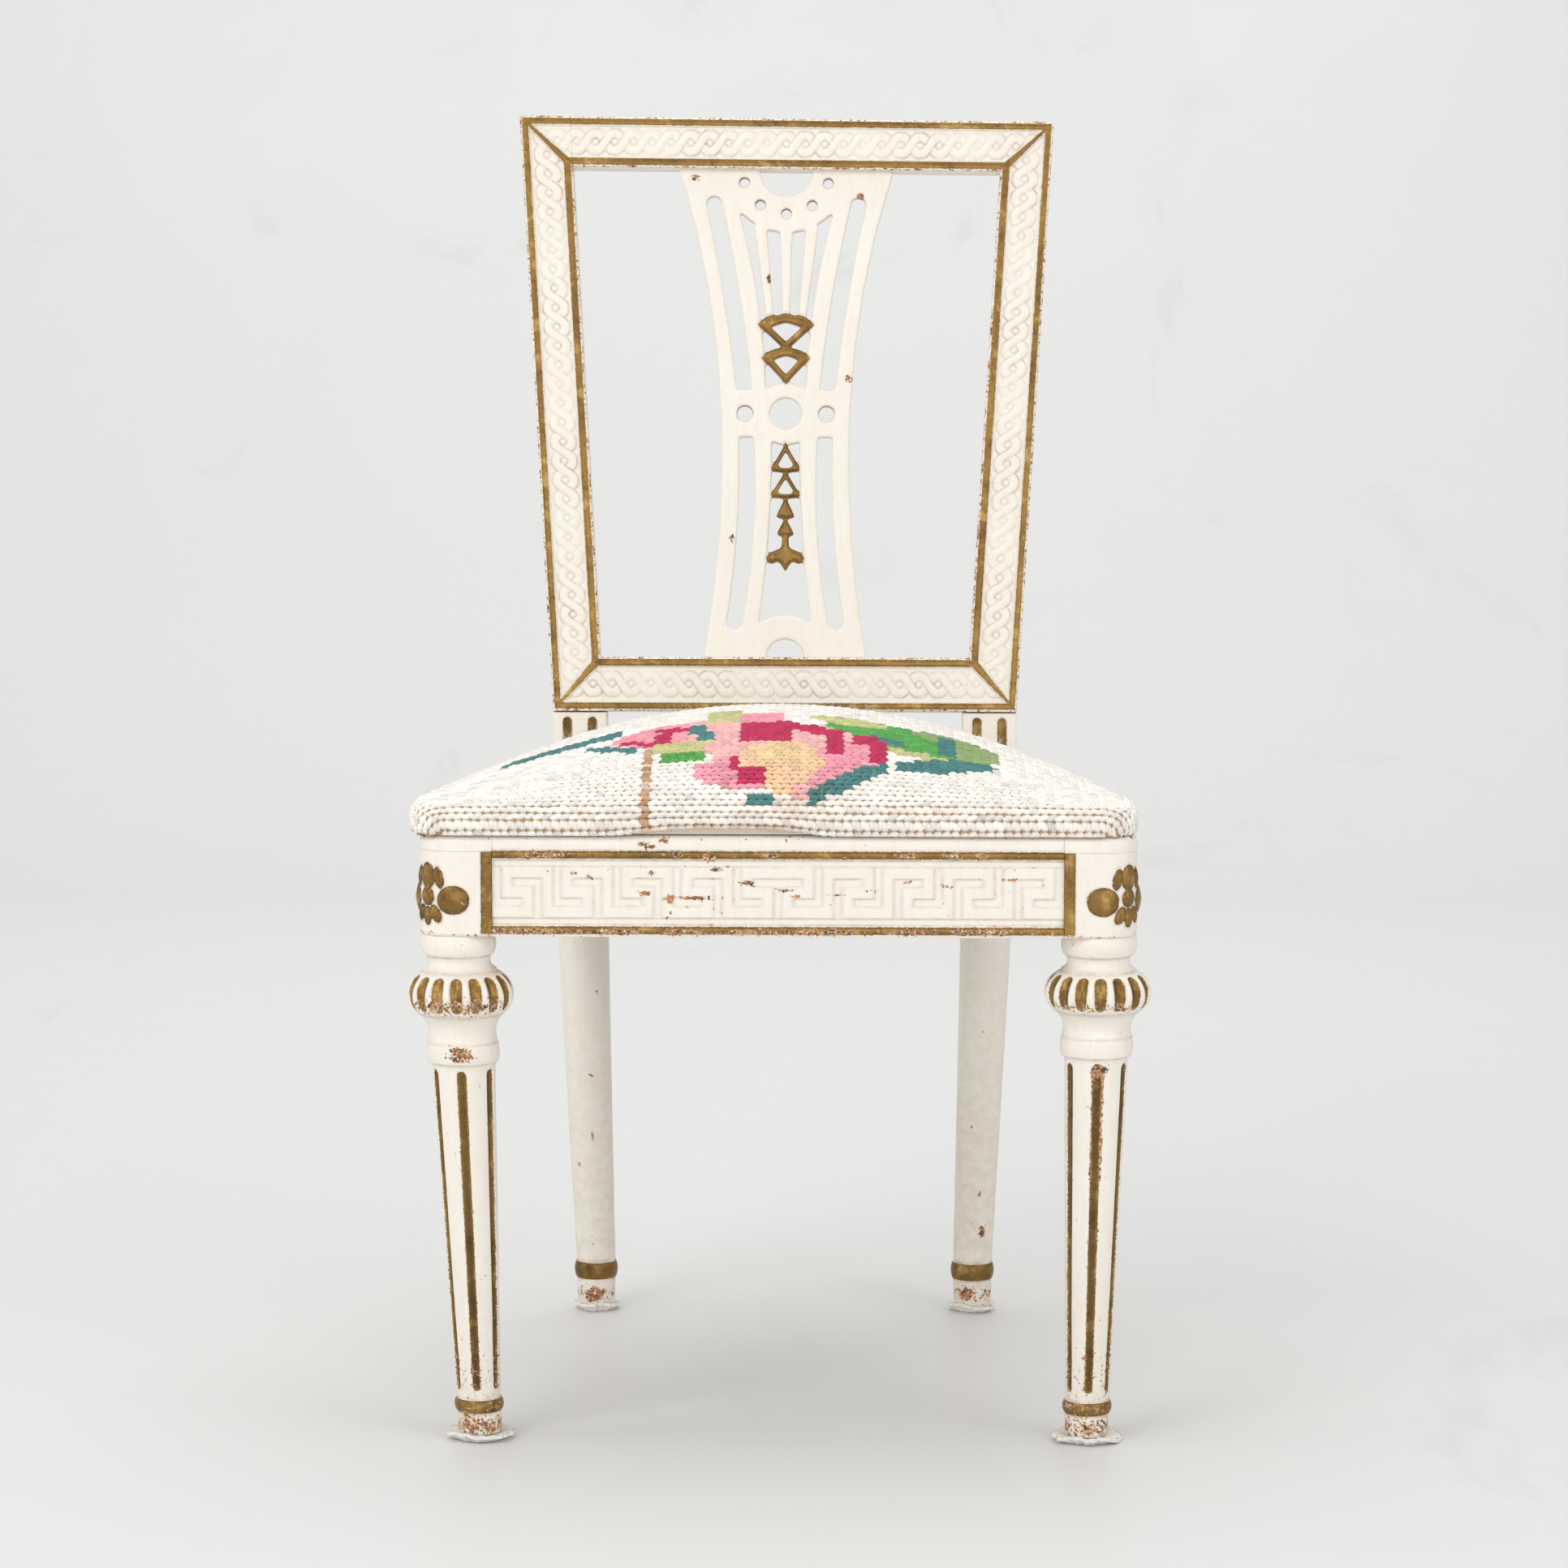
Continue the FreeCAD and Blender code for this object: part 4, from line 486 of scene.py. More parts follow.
# Rings of wear, and of grime with painted shade in the mouldings' hollows, round the leg: height, reach and
# strength.
LEG_WEAR = ((11, 8.0, 0.5), (25, 6, 0.16), (45, 25.0, 0.20))
LEG_GRIME_AND_SHADE = ((339.3, 0.9, 0.55), (328.6, 1.0, 0.5), (298.9, 1.2, 0.45), (265.2, 0.8, 0.4), (279.2, 0.7, 0.5),
            (19.6, 0.8, 0.5), (30, 0.8, 0.5))
# Heights of the mouldings as turned, and where the right leg has them.
MOULDINGS, RIGHT_MOULDINGS = (4, 36, 265, 280, 299, 328, 357), (4, 36, 271, 285.4, 302.4, 329.6, 357)


def front_leg(side):
    build = Build()
    profile = turned_profile(LEG_RUNS)
    r, z = profile[:, :1], profile[:, 1]
    zz = z[:, None]
    turn = full_turn(LEG_SIDES)
    # Gadroons round the bulb
    bulb = (z < BULB_TOP) & (z > BULB_FOOT)
    along = np.cumsum(np.r_[0, np.hypot(*np.diff(profile, axis=0).T)])
    start, end = along[bulb][0], along[bulb][-1]
    along, bulb = along[:, None], bulb[:, None]
    share = np.clip((along - start) / (end - start), 0, 1)
    half = 2.3 + 2.1 * np.sin(math.pi * share ** 0.8) ** 0.8
    groove = capsule(from_nearest(turn, GADROONS) * np.maximum(r, 1), along, start + 2.4, end - 4.0, half)
    groove = np.where(bulb, groove, OUTSIDE)
    cut = GADROON_DEPTH * vault(groove / np.maximum(half, 0.1))
    ridge = 0.7 * np.where(bulb, np.clip(-groove, 0, 1.6) * np.sin(math.pi * share) ** 0.6, 0)
    # Flutes down the taper
    width = 2.9 + 0.7 * np.clip((zz - 30) / 235, 0, 1)
    offset = from_nearest(turn, FLUTES, math.pi / 6) * np.maximum(r, 1)
    flute = capsule(offset, zz, FLUTE_FOOT, FLUTE_TOP, width)
    flute = np.where((zz < FLUTE_TOP + 3) & (zz > FLUTE_FOOT - 4), flute, OUTSIDE)
    cut = cut + FLUTE_DEPTH * vault(flute / width)
    gold = np.maximum(np.where(bulb, groove - 0.1, OUTSIDE), flute - 0.1)
    gold = np.maximum(gold, np.where((zz < ANKLE_TOP) & (zz > ANKLE_FOOT), 1.0, OUTSIDE))
    p = polar(r - cut + ridge, z, LEG_SIDES)
    p[..., :2] *= (1 + 0.004 * wobble(p, 38.0, 11))[..., None]
    front = np.clip(np.cos(turn + math.pi / 2)[None, :] * 1.4, 0, 1)
    worn = 0.12 + humps(zz, LEG_WEAR)
    if side < 0:
        worn = worn + 0.50 * hump(zz, 7.5, 307) * front + hump(zz, 5.2, 273.0) * hump(turn, 0.36, 4.70)
    else:
        ahead = hump(turn, 0.32, 4.78)
        worn = worn + 0.4 * hump(zz, 5, 305) * front + 0.5 * hump(zz, 5, 256) * ahead
        worn = worn + 0.5 * hump(flute, 1.1, -0.4) * ahead * smoothstep(zz, 165, 195)
    worn = worn + 0.25 * hump(flute, 0.8)
    # Painted shade in the flutes, along the gadroons' edges and in the mouldings' hollows, over some grime;
    # the leg also darkens towards the foot.
    grime_and_shade = 0.6 * smoothstep(flute, 0.3, 2.4) + 0.12 * smoothstep(-zz, -200, -20)
    grime_and_shade = grime_and_shade + humps(zz, LEG_GRIME_AND_SHADE) + 0.5 * hump(groove, 0.5)
    if side > 0:
        p[..., 2] = np.interp(p[..., 2], MOULDINGS, RIGHT_MOULDINGS)
    lean = (RAIL_BOTTOM - p[..., 2]) / RAIL_BOTTOM * (FOOT_LEAN - FOOT_SHIFT * side)
    p[..., 0] += LEG_X - lean
    build.solid(p, gold, worn, grime_and_shade)
    seat_block(build)
    return build.painted("front_leg_" + hand(side), hand(side) + "_front_leg", side < 0)


def ellipse(u, v, cu, cv, a, b, tilt=0.0):
    """About the signed distance inside an ellipse."""
    c, s = math.cos(tilt), math.sin(tilt)
    du, dv = u - cu, v - cv
    x, y = du * c + dv * s, -du * s + dv * c
    return (1 - np.sqrt((x / a) ** 2 + (y / b) ** 2)) * min(a, b)


# Petals of the corner flower: middle, half axes, tilt and rise.
PETALS = ((0.0, 395.8, 6.8, 9.2, 0.0, 2.8), (9.4, 395.0, 3.6, 7.6, 0.22, 2.0),
          (19.4, 379.8, 11.2, 10.0, 0.0, 3.0), (0.5, 382.0, 5.4, 6.4, 0.0, 3.4),
          (0.0, 368.6, 4.2, 6.8, 0.0, 2.4), (7.0, 370.2, 4.0, 6.6, 0.5, 2.2))


def flower(a, z):
    """Carved corner flower: a is the distance round the corner from its middle, z the height."""
    height, gold, seam = np.zeros_like(a), np.full_like(a, OUTSIDE), np.full_like(a, OUTSIDE)
    for cu, cv, ea, eb, tilt, rise in PETALS:
        for side in (1, -1)[:1 if cu == 0.0 else 2]:
            inside = ellipse(a, z, cu * side, cv, ea, eb, tilt * side)
            dome = rise * vault(inside / min(ea, eb))
            dome = dome - 0.7 * hump(a, 0.7, cu * side) * (inside > 1.2) * (ea < 8)
            seam = np.where(dome > height, -np.abs(inside), seam)
            height = np.maximum(height, dome)
            gold = np.maximum(gold, inside)
    return height, gold, seam


def seat_block(build):
    """Block over the leg, with its rounded and carved outer corner and the lip of the seat's rebate."""
    x0, x1, y0, y1, r = BLOCK_IN, BLOCK_OUT, -BLOCK_HALF, BLOCK_HALF, BLOCK_ROUND
    step = 0.8
    front = np.arange(x0, x1 - r, step)
    bend = np.linspace(-math.pi / 2, 0, int(r * math.pi / 2 / step))
    flank = np.arange(y0 + r + step, y1 + 0.01, step)
    outline = np.vstack([np.stack([front, np.full_like(front, y0)], -1),
                         np.stack([x1 - r + r * np.cos(bend), y0 + r + r * np.sin(bend)], -1),
                         np.stack([np.full_like(flank, x1), flank], -1)])
    normal = np.vstack([np.tile([0.0, -1.0], (len(front), 1)), np.stack([np.cos(bend), np.sin(bend)], -1),
                        np.tile([1.0, 0.0], (len(flank), 1))])
    length = np.cumsum(np.r_[0, np.hypot(*np.diff(outline, axis=0).T)])
    middle = np.interp(0.5, [0, 1], [length[len(front)], length[len(front) + len(bend) - 1]])
    a = (middle - length)[None, :]
    inner = np.array([[x0, y1]])
    z = np.r_[355.0, 355.5, np.arange(356.2, REBATE_FLOOR, 0.8), REBATE_FLOOR]
    zz = np.repeat(z[:, None], len(outline), 1)
    aa = np.repeat(a, len(z), 0)
    height, gold, seam = flower(aa, zz)
    # Gilt bars stand on the edges next to the rails.
    edge = np.minimum(length, length[-1] - length)[None, :]
    bar = np.minimum(np.minimum(BAR_WIDTH - edge, zz - LOWER_BEAD), UPPER_BEAD + 2 * BEAD_HALF - zz)
    height = height + BAR_PROUD * smoothstep(bar, -0.4, 0.6)
    gold = np.maximum(gold, np.where(bar > -4, bar, OUTSIDE))
    drop = 0.9 * smoothstep(-zz, -356.4, -355.0)
    # Dark lines round the gilt, painted shade in the seams between the petals, and grime on the flower's
    # gilt.
    grime_and_shade = 0.6 * hump(gold, 0.7) + 0.5 * hump(seam, 0.6)
    grime_and_shade = grime_and_shade + 0.10 * smoothstep(gold, 0.0, 1.0) * (bar < 0)
    worn = 0.06 + 0.2 * hump(gold, 0.9) + 0.35 * hump(zz, 2.5, 356)
    worn = worn + 0.12 * smoothstep(gold, 0.0, 2.0)
    p = np.empty((len(z), len(outline), 3))
    p[..., :2] = outline[None] + normal[None] * (height - drop)[..., None]
    p[..., 2] = zz
    tail = np.empty((len(z), 1, 3))
    tail[..., :2] = inner
    tail[..., 2] = z[:, None]
    p = np.concatenate([p, tail], 1)

    def widen(v, last=0.0):
        return np.concatenate([np.broadcast_to(v, zz.shape), np.full((len(z), 1), last)], 1)

    build.solid(p, widen(gold, OUTSIDE), widen(worn), widen(grime_and_shade), flip=True)
    # Lip round the seat's rebate, with its top edge rounded over; it thins out round the corner.
    lean = normal[:, 0] + SIDE_SLOPE * normal[:, 1]
    to_end = (y0 + RAIL_LIP - outline[:, 1]) / np.maximum(-normal[:, 1], 1e-6)
    to_side = (outline[:, 0] - side_x(outline[:, 1], RAIL_LIP)) / np.maximum(lean, 1e-6)
    to_end, to_side = np.where(normal[:, 1] < -1e-6, to_end, 0.0), np.where(lean > 1e-6, to_side, 0.0)
    deep = np.maximum(to_end, to_side)[:, None]
    most = np.arccos(1 - np.minimum(0.8 * deep / TOP_ROUND, 1))
    bow = np.minimum(np.linspace(0, math.pi / 2, 9)[None, :], most)
    low = np.tile([REBATE_FLOOR, 414.0, 415.0, 416.0, 417.0], (len(outline), 1))
    lip_z = RAIL_TOP - TOP_ROUND * (1 - np.sin(bow))
    lip_z = np.concatenate([low, lip_z, lip_z[:, -1:], low[:, :1]], 1)
    inset = np.concatenate([0 * low, TOP_ROUND * (1 - np.cos(bow)), deep, deep], 1)
    q = np.empty(lip_z.shape + (3,))
    q[..., :2] = outline[:, None] - normal[:, None] * inset[..., None]
    q[..., 2] = lip_z
    build.solid(q, None, 0.06 + 0.25 * smoothstep(lip_z, 420, 425), None)


# Seat rails with their mouldings and Greek key

LOWER_BEAD, UPPER_BEAD, BEAD_HALF, BEAD_RISE = 357.0, 408.7, 2.65, 1.4
PANEL_FOOT, PANEL_TOP, PANEL_SINK, KEY_DEPTH = 363.5, 407.5, 0.5, 1.3
# Lines of grime and painted shade in the mouldings' hollows: height, reach and strength.
RAIL_GRIME_AND_SHADE = ((356.6, 0.6, 0.5), (408.1, 0.7, 0.6), (414.5, 0.6, 0.5), (363.0, 0.6, 0.4))


def key_rectangles(half_length, count):
    """Sunk lines of the Greek key, as (x0, x1, z0, z1) rows."""
    margin, width, band, end = 4.2, 5.3, 8.0, 1.0
    top_line, foot_line = PANEL_TOP - margin, PANEL_FOOT + margin
    rise = (top_line - foot_line - 2 * width) / 3
    low, high = foot_line + rise, top_line - rise
    pitch = (half_length - end + width / 2 + band) / count
    half = width / 2
    borders = ((top_line, PANEL_TOP), (PANEL_FOOT, foot_line))
    rows = [(-half_length, half_length, z0, z1) for z0, z1 in borders]
    for index in range(count):
        rising = index * pitch
        falling = rising + pitch - width - band
        for side in (-1, 1):
            for a, b, z0, z1 in ((falling - half, falling + half, low, top_line),
                                 (rising + half + band, falling + half, low, low + width),
                                 (rising - half, falling - half - band, high - width, high),
                                 (rising - half, rising + half, foot_line, high)):
                rows.append((min(side * a, side * b), max(side * a, side * b), z0, z1))
    return rows


def stations(edges, low, high, spacing, soft=0.55):
    """Grid lines close to every edge, and at most spacing apart between them."""
    marks = [low, high]
    for e in edges:
        marks += [e - soft, e + soft]
    marks = sorted({round(min(max(m, low), high), 3) for m in marks})
    out = []
    for a, b in zip(marks, marks[1:]):
        out += np.linspace(a, b, max(1, int(math.ceil((b - a) / spacing))), endpoint=False).tolist()
    return np.array(out + [high])


# Chips in the front rail's paint: place along the rail, height, and reach both ways.
FRONT_CHIPS = ((-166, 411, 7, 4), (-151, 412, 9, 4), (-92, 418.5, 7, 3), (-86, 416.5, 6, 2.5),
               (-76, 420.5, 5, 4), (-68, 412, 4, 4), (-46, 410, 5, 5), (-3, 411, 6, 3), (87, 411.5, 7, 3),
               (119, 411, 8, 3), (138, 411.5, 6, 3), (-156, 400, 4, 2), (-139, 399, 5, 3),
               (-128, 396, 5, 3.5), (-86, 399, 6, 3), (-43, 401, 8, 2), (-91, 385, 8, 3),
               (-74, 381, 4, 7), (-54, 382, 18, 3),
               (-74, 371, 3, 5), (-21, 392, 8, 3.5), (5, 387, 9, 2.5), (11, 383, 7, 2), (40, 384, 7, 2),
               (65, 387, 7, 2.5), (89, 393, 7, 2.5), (114, 390, 6, 2), (157, 395, 7, 2))


def rail(half_length, key_half, count, seed, chips=()):
    """Rail along x, with its outer face at y = 0 towards -y, as (points, gold, worn, grime and painted
    shade).
    """
    rects = key_rectangles(key_half, count)
    xs = stations([e for q in rects for e in q[:2]], -half_length, half_length, 1.8)
    edges = [bead + rise for bead in (LOWER_BEAD, UPPER_BEAD) for rise in (0.0, 2 * BEAD_HALF)]
    zs = stations([e for q in rects for e in q[2:]] + edges, RAIL_BOTTOM, RAIL_TOP - TOP_ROUND, 0.9)
    gx, gz = np.meshgrid(xs, zs, indexing="ij")
    sunk = np.full(gx.shape, -99.0)
    for x0, x1, z0, z1 in rects:
        sunk = np.maximum(sunk, np.minimum(np.minimum(gx - x0, x1 - gx), np.minimum(gz - z0, z1 - gz)))
    depth = KEY_DEPTH * smoothstep(sunk, -0.5, 0.5)
    depth = depth + PANEL_SINK * smoothstep(np.minimum(gz - PANEL_FOOT, PANEL_TOP - gz), -0.3, 0.3)
    gold = np.full(gx.shape, OUTSIDE)
    for bead in (LOWER_BEAD, UPPER_BEAD):
        off = gz - bead - BEAD_HALF
        depth = depth - BEAD_RISE * vault(1 - (off / BEAD_HALF) ** 2)
        gold = np.maximum(gold, BEAD_HALF - np.abs(off))
    patch = 0.5 + 0.5 * np.sin(gx / 11.0 + 1.9 * np.sin(gx / 29.0 + seed))
    worn = 0.08 + (0.40 + 0.32 * patch) * hump(gz, 3.0, 358.6)
    worn = worn + 0.22 * hump(gz, 3.0, 411.3)
    worn = worn + 0.22 * hump(sunk, 1.2) * (0.5 + 0.5 * np.sin(gx / 31.0 + seed))
    # Painted shade along the edges of the sunk key and in the mouldings' hollows, and a dark joint line at
    # the rail's ends.
    grime_and_shade = 0.30 * hump(sunk, 0.7, -0.1) * (depth > 0.3)
    grime_and_shade = grime_and_shade + humps(gz, RAIL_GRIME_AND_SHADE) + 0.6 * hump(half_length - np.abs(gx), 0.6)
    face = np.stack([gx, depth, gz], -1)
    top = np.linspace(0, math.pi / 2, 9)[1:]
    rest = [(TOP_ROUND * (1 - math.cos(t)), RAIL_TOP - TOP_ROUND * (1 - math.sin(t))) for t in top]
    rest += [(RAIL_LIP - 0.3, RAIL_TOP), (RAIL_LIP, RAIL_TOP - 0.4), (RAIL_LIP, REBATE_FLOOR),
             (RAIL_THICKNESS - 0.4, REBATE_FLOOR), (RAIL_THICKNESS, REBATE_FLOOR - 0.4),
             (RAIL_THICKNESS, RAIL_BOTTOM + 0.4), (RAIL_THICKNESS - 0.4, RAIL_BOTTOM), (0.5, RAIL_BOTTOM)]
    more = np.empty((len(xs), len(rest), 3))
    more[..., 0] = xs[:, None]
    more[..., 1:] = np.array(rest)[None]
    pad = np.zeros((len(xs), len(rest)))
    rub = pad + np.array([0.1, 0.15, 0.2, 0.25, 0.3, 0.3, 0.3, 0.2] + [0.05] * 8)[None]
    p = np.concatenate([face, more], 1)
    p[..., 1] += 0.12 * wobble(p, 45.0, seed)
    worn = np.concatenate([worn, rub], 1)
    for x, z, wide, tall in chips:
        chip = hump(p[..., 0], 0.75 * wide, x) * hump(p[..., 2], 0.7 * tall, z)
        worn = worn + 0.66 * chip * (p[..., 1] < TOP_ROUND)
    return p, np.concatenate([gold, pad + OUTSIDE], 1), worn, np.concatenate([grime_and_shade, pad], 1)


def front_rail():
    build = Build()
    p, gold, worn, grime_and_shade = rail(BLOCK_IN - 0.12, BLOCK_IN, 5, 3, FRONT_CHIPS)
    p[..., 1] -= BLOCK_HALF
    build.solid(p, gold, worn, grime_and_shade)
    return build.painted("seat_rail_front", "front_seat_rail")


def side_rail(side):
    build = Build()
    run = SIDE_RUN / math.cos(SIDE_ANGLE) / 2
    p, gold, worn, grime_and_shade = rail(run - 0.15, run - RAIL_THICKNESS * math.tan(SIDE_ANGLE), 4, 5 + side)
    worn = worn - 0.1
    # Skew the ends so that they meet the block and the post squarely.
    x, depth = p[..., 0].copy(), p[..., 1].copy()
    x = x - depth * SIDE_SLOPE * np.abs(x) / run
    turn = math.pi / 2 + SIDE_ANGLE
    c, s = math.cos(turn), math.sin(turn)
    p[..., 0] = x * c - depth * s + (BLOCK_OUT + POST_OUT) / 2
    p[..., 1] = x * s + depth * c + BLOCK_HALF + SIDE_RUN / 2
    p[..., 1] = np.clip(p[..., 1], BLOCK_HALF + 0.1, SEAT_DEPTH - 0.1)
    build.solid(p, gold, worn, grime_and_shade)
    return build.painted("seat_rail_" + hand(side), hand(side) + "_seat_rail", side < 0)


# Back frame

def stile_out(s):
    return POST_OUT + (BACK_TOP_HALF - POST_OUT) * s / BACK_LENGTH


STILE_TILT = math.atan((BACK_TOP_HALF - POST_OUT) / BACK_LENGTH)


def stile_in(s):
    return stile_out(s) - STILE_FACE / math.cos(STILE_TILT)


def guilloche(u, v):
    """Two bands that cross over and under round a row of eyes; u along, v across from the middle."""
    pitch, reach, half = 14.6, 6.4, 3.5
    t = math.pi * u / pitch
    first, second = reach * np.cos(t), -reach * np.cos(t)
    slope = np.sqrt(1 + (reach * math.pi / pitch * np.sin(t)) ** 2)
    first_top = (np.floor(u / pitch) % 2) == 0
    d1, d2 = np.abs(v - first) / slope, np.abs(v - second) / slope
    h1 = 1.15 * vault(1 - (d1 / half) ** 2) * (d1 < half)
    h2 = 1.15 * vault(1 - (d2 / half) ** 2) * (d2 < half)
    top, low = np.where(first_top, h1, h2), np.where(first_top, h2, h1)
    dt, dl = np.where(first_top, d1, d2), np.where(first_top, d2, d1)
    on_top = dt < half
    height = np.where(on_top, top, low * 0.8)
    line = np.where(on_top, half - dt, np.minimum(np.abs(dl - half), dt - half))
    eye_u = np.minimum(u % pitch, pitch - u % pitch)
    eye = 2.6 - np.hypot(eye_u, v)
    button = 1.0 * vault(eye / 2.6)
    near = eye > -0.5
    height = np.where(near, button, height)
    line = np.where(near, np.abs(eye), line)
    return height, np.abs(line)


OPEN_FOOT, OPEN_TOP = LOWER_FACE, BACK_LENGTH - CREST_FACE
# Distances of the gilt lines from the frame's outer and inner edges, and the gap left at a joint.
OUTER_LINE, INNER_LINE, JOINT_GAP = 3.9, 4.1, 0.04


def frame_face(x, s):
    """Depth, gold, wear, and grime with painted shade, of the back frame's face at points (x, s)."""
    ax = np.abs(x)
    reach = (stile_out(s) - ax) * math.cos(STILE_TILT) / STILE_FACE
    crest = (BACK_LENGTH - s) / CREST_FACE
    lower = s / LOWER_FACE
    # The member is the one whose outer edge is nearest in shares of its own width.
    end = np.minimum(crest, lower)
    on_end = end < reach
    share = np.where(on_end, end, reach)
    wide = np.where(on_end, np.where(crest < lower, CREST_FACE, LOWER_FACE), STILE_FACE)
    along = np.where(on_end, x, s)
    mm = share * wide
    outer, inner = mm - OUTER_LINE, wide - mm - INNER_LINE
    mitre = np.abs(end - reach) * 26.0
    taper = 0.9 + 1.8 * np.clip((share - 0.14) / 0.72, 0, 1)
    bar = np.where((share > 0.1) & (share < 0.9), taper - mitre, OUTSIDE)
    gold = np.maximum(np.maximum(2.4 - np.abs(outer), 2.7 - np.abs(inner)), bar)
    field = np.minimum(np.minimum(mm - 7.0, wide - mm - 7.3), mitre - taper - 0.6)
    band, line = guilloche(along, mm - wide / 2)
    inside = smoothstep(field, -0.4, 0.5)
    depth = 1.9 * inside - inside * band * smoothstep(field, 0.2, 1.4)
    depth = depth - 0.9 * vault(1 - (outer / 2.8) ** 2) * (bar < 0)
    depth = depth - 0.9 * vault(1 - (inner / 3.0) ** 2) * (bar < 0)
    depth = depth - 0.5 * smoothstep(bar, -0.3, 0.8)
    edge = np.minimum(mm, wide - mm)
    # Painted shade along the edges of the guilloche bands and their eyes, and round the edge of the sunk
    # field.
    grime_and_shade = 0.75 * inside * hump(line, 0.55) * (0.6 + 0.4 * np.sin(along / 17.0 + x / 53.0))
    grime_and_shade = grime_and_shade + 0.35 * hump(field, 0.6, -0.1)
    worn = 0.05 + 0.42 * hump(edge, 2.2) + 0.10 * hump(gold, 1.0)
    return depth, gold, worn, grime_and_shade


def slab(along, across_front, place_point, thickness, back_edge, stile=False):
    """Closed bar: a fine carved face and plain sides. place_point gives (x, s) from (along, share)."""
    n, arris = len(along), 1.2
    a, b = np.meshgrid(along, across_front, indexing="ij")
    x, s = place_point(a, b)
    depth, gold, worn, grime_and_shade = frame_face(x, s)
    joined = stile & ((s < OPEN_FOOT) | (s > OPEN_TOP))
    border = np.minimum(np.where(joined, 1.0, b), 1 - b) * back_edge
    depth = depth + edge_round(border, 1.1)
    front = np.stack([x, depth, s], -1)
    sides = [(1.0, 2.5), (1.0, 8.0), (1.0, 16.0), (1.0, thickness - arris),
             (1.0 - arris / back_edge, thickness), (0.75, thickness), (0.5, thickness), (0.25, thickness),
             (arris / back_edge, thickness),
             (0.0, thickness - arris), (0.0, 16.0), (0.0, 8.0), (0.0, 2.5)]
    rest = np.empty((n, len(sides), 3))
    for k, (share, d) in enumerate(sides):
        px, ps = place_point(along, np.full(n, share))
        rest[:, k] = np.stack([px, np.full(n, d), ps], -1)
    p = np.concatenate([front, rest], 1)
    p[..., 1] += 0.10 * wobble(p, 50.0, 23)
    pad = np.zeros((n, len(sides)))
    rub = pad + np.array([0.35, 0.1, 0.1, 0.2, 0.25, 0.06, 0.06, 0.06, 0.25, 0.2, 0.1, 0.1, 0.35])
    return (on_back(p), np.concatenate([gold, pad + OUTSIDE], 1), np.concatenate([worn, rub], 1),
            np.concatenate([grime_and_shade, pad], 1))


def back_rail(crest):
    build = Build()
    low, high = (OPEN_TOP, BACK_LENGTH) if crest else (0.0, LOWER_FACE)

    def point(a, b):
        s = low + (high - low) * b
        return a * (stile_in(s) - JOINT_GAP), s

    along = np.linspace(-1, 1, 430 if crest else 380)
    across = np.linspace(0, 1, 49)
    p, gold, worn, grime_and_shade = slab(along, across, point, STILE_THICKNESS - PEG_STAND, high - low)
    build.solid(p, gold, worn, grime_and_shade)
    names = ("back_rail_crest", "crest_rail") if crest else ("back_rail_lower", "lower_back_rail")
    return build.painted(*names)


def rear_centre(z):
    share = np.clip((POST_BOTTOM - z) / (POST_BOTTOM - FELT), 0, 1)
    start = SEAT_DEPTH + POST_DEPTH / 2
    return POST_X + share * (145.5 - POST_X), start + share ** 1.4 * (SEAT_DEPTH + 44.0 - start)


# Chips in the rear legs' paint: height, angle round the leg, and reach both ways.
REAR_CHIPS = {-1: ((189, 4.55, 4, 0.2), (141, 4.6, 9, 0.12), (118, 5.3, 4, 0.16), (255, 4.2, 3, 0.12),
                   (15, 4.7, 7, 0.5)),
              1: ((66, 5.1, 9, 0.2), (225, 4.8, 4, 0.14), (150, 4.4, 3, 0.12), (96, 4.9, 3, 0.14),
                  (16, 4.4, 7, 0.4))}
REAR_RUNS = (((1.0, 341.0), (19.6, 341.0), 5), ((20.2, 340.2), (15.0, 39.4), 3.0),
             ((15.0, 39.3), (15.5, 39.0), 0.6), ((15.6, 38.8), (16.8, 32.5), (15.6, 26.3), 0.8),
             ((15.4, 26.0), (15.0, 25.6), 0.6), ((15.0, 25.4), (14.3, 6.0), 1.4),
             ((14.0, 5.0), (12.0, 4.1), 0.8), ((11.0, 4.0), (0.6, 4.0), 4))
REAR_SIDES, REAR_RING_TOP, REAR_RING_FOOT, REAR_LEG_TOP = 112, 39.2, 26.0, 20.3
POST_KNEE, POST_BLEND, POST_FLUTE_X, POST_FLUTE_HALF, POST_ARRIS = 419.7, 13.0, 9.5, 3.5, 1.4


def rear_leg(side):
    build = Build()

    def point(a, b):
        return side * (stile_in(a) + (stile_out(a) - stile_in(a)) * b), a

    along, across = np.linspace(0, BACK_LENGTH, 600), np.linspace(0, 1, 49)
    p, gold, worn, grime_and_shade = slab(along, across, point, STILE_THICKNESS - PEG_STAND, STILE_FACE, True)
    build.solid(p, gold, worn, grime_and_shade, flip=side > 0)
    rear_post(build, side)
    round_leg(build, side)
    return build.painted("rear_leg_" + hand(side), hand(side) + "_rear_leg")


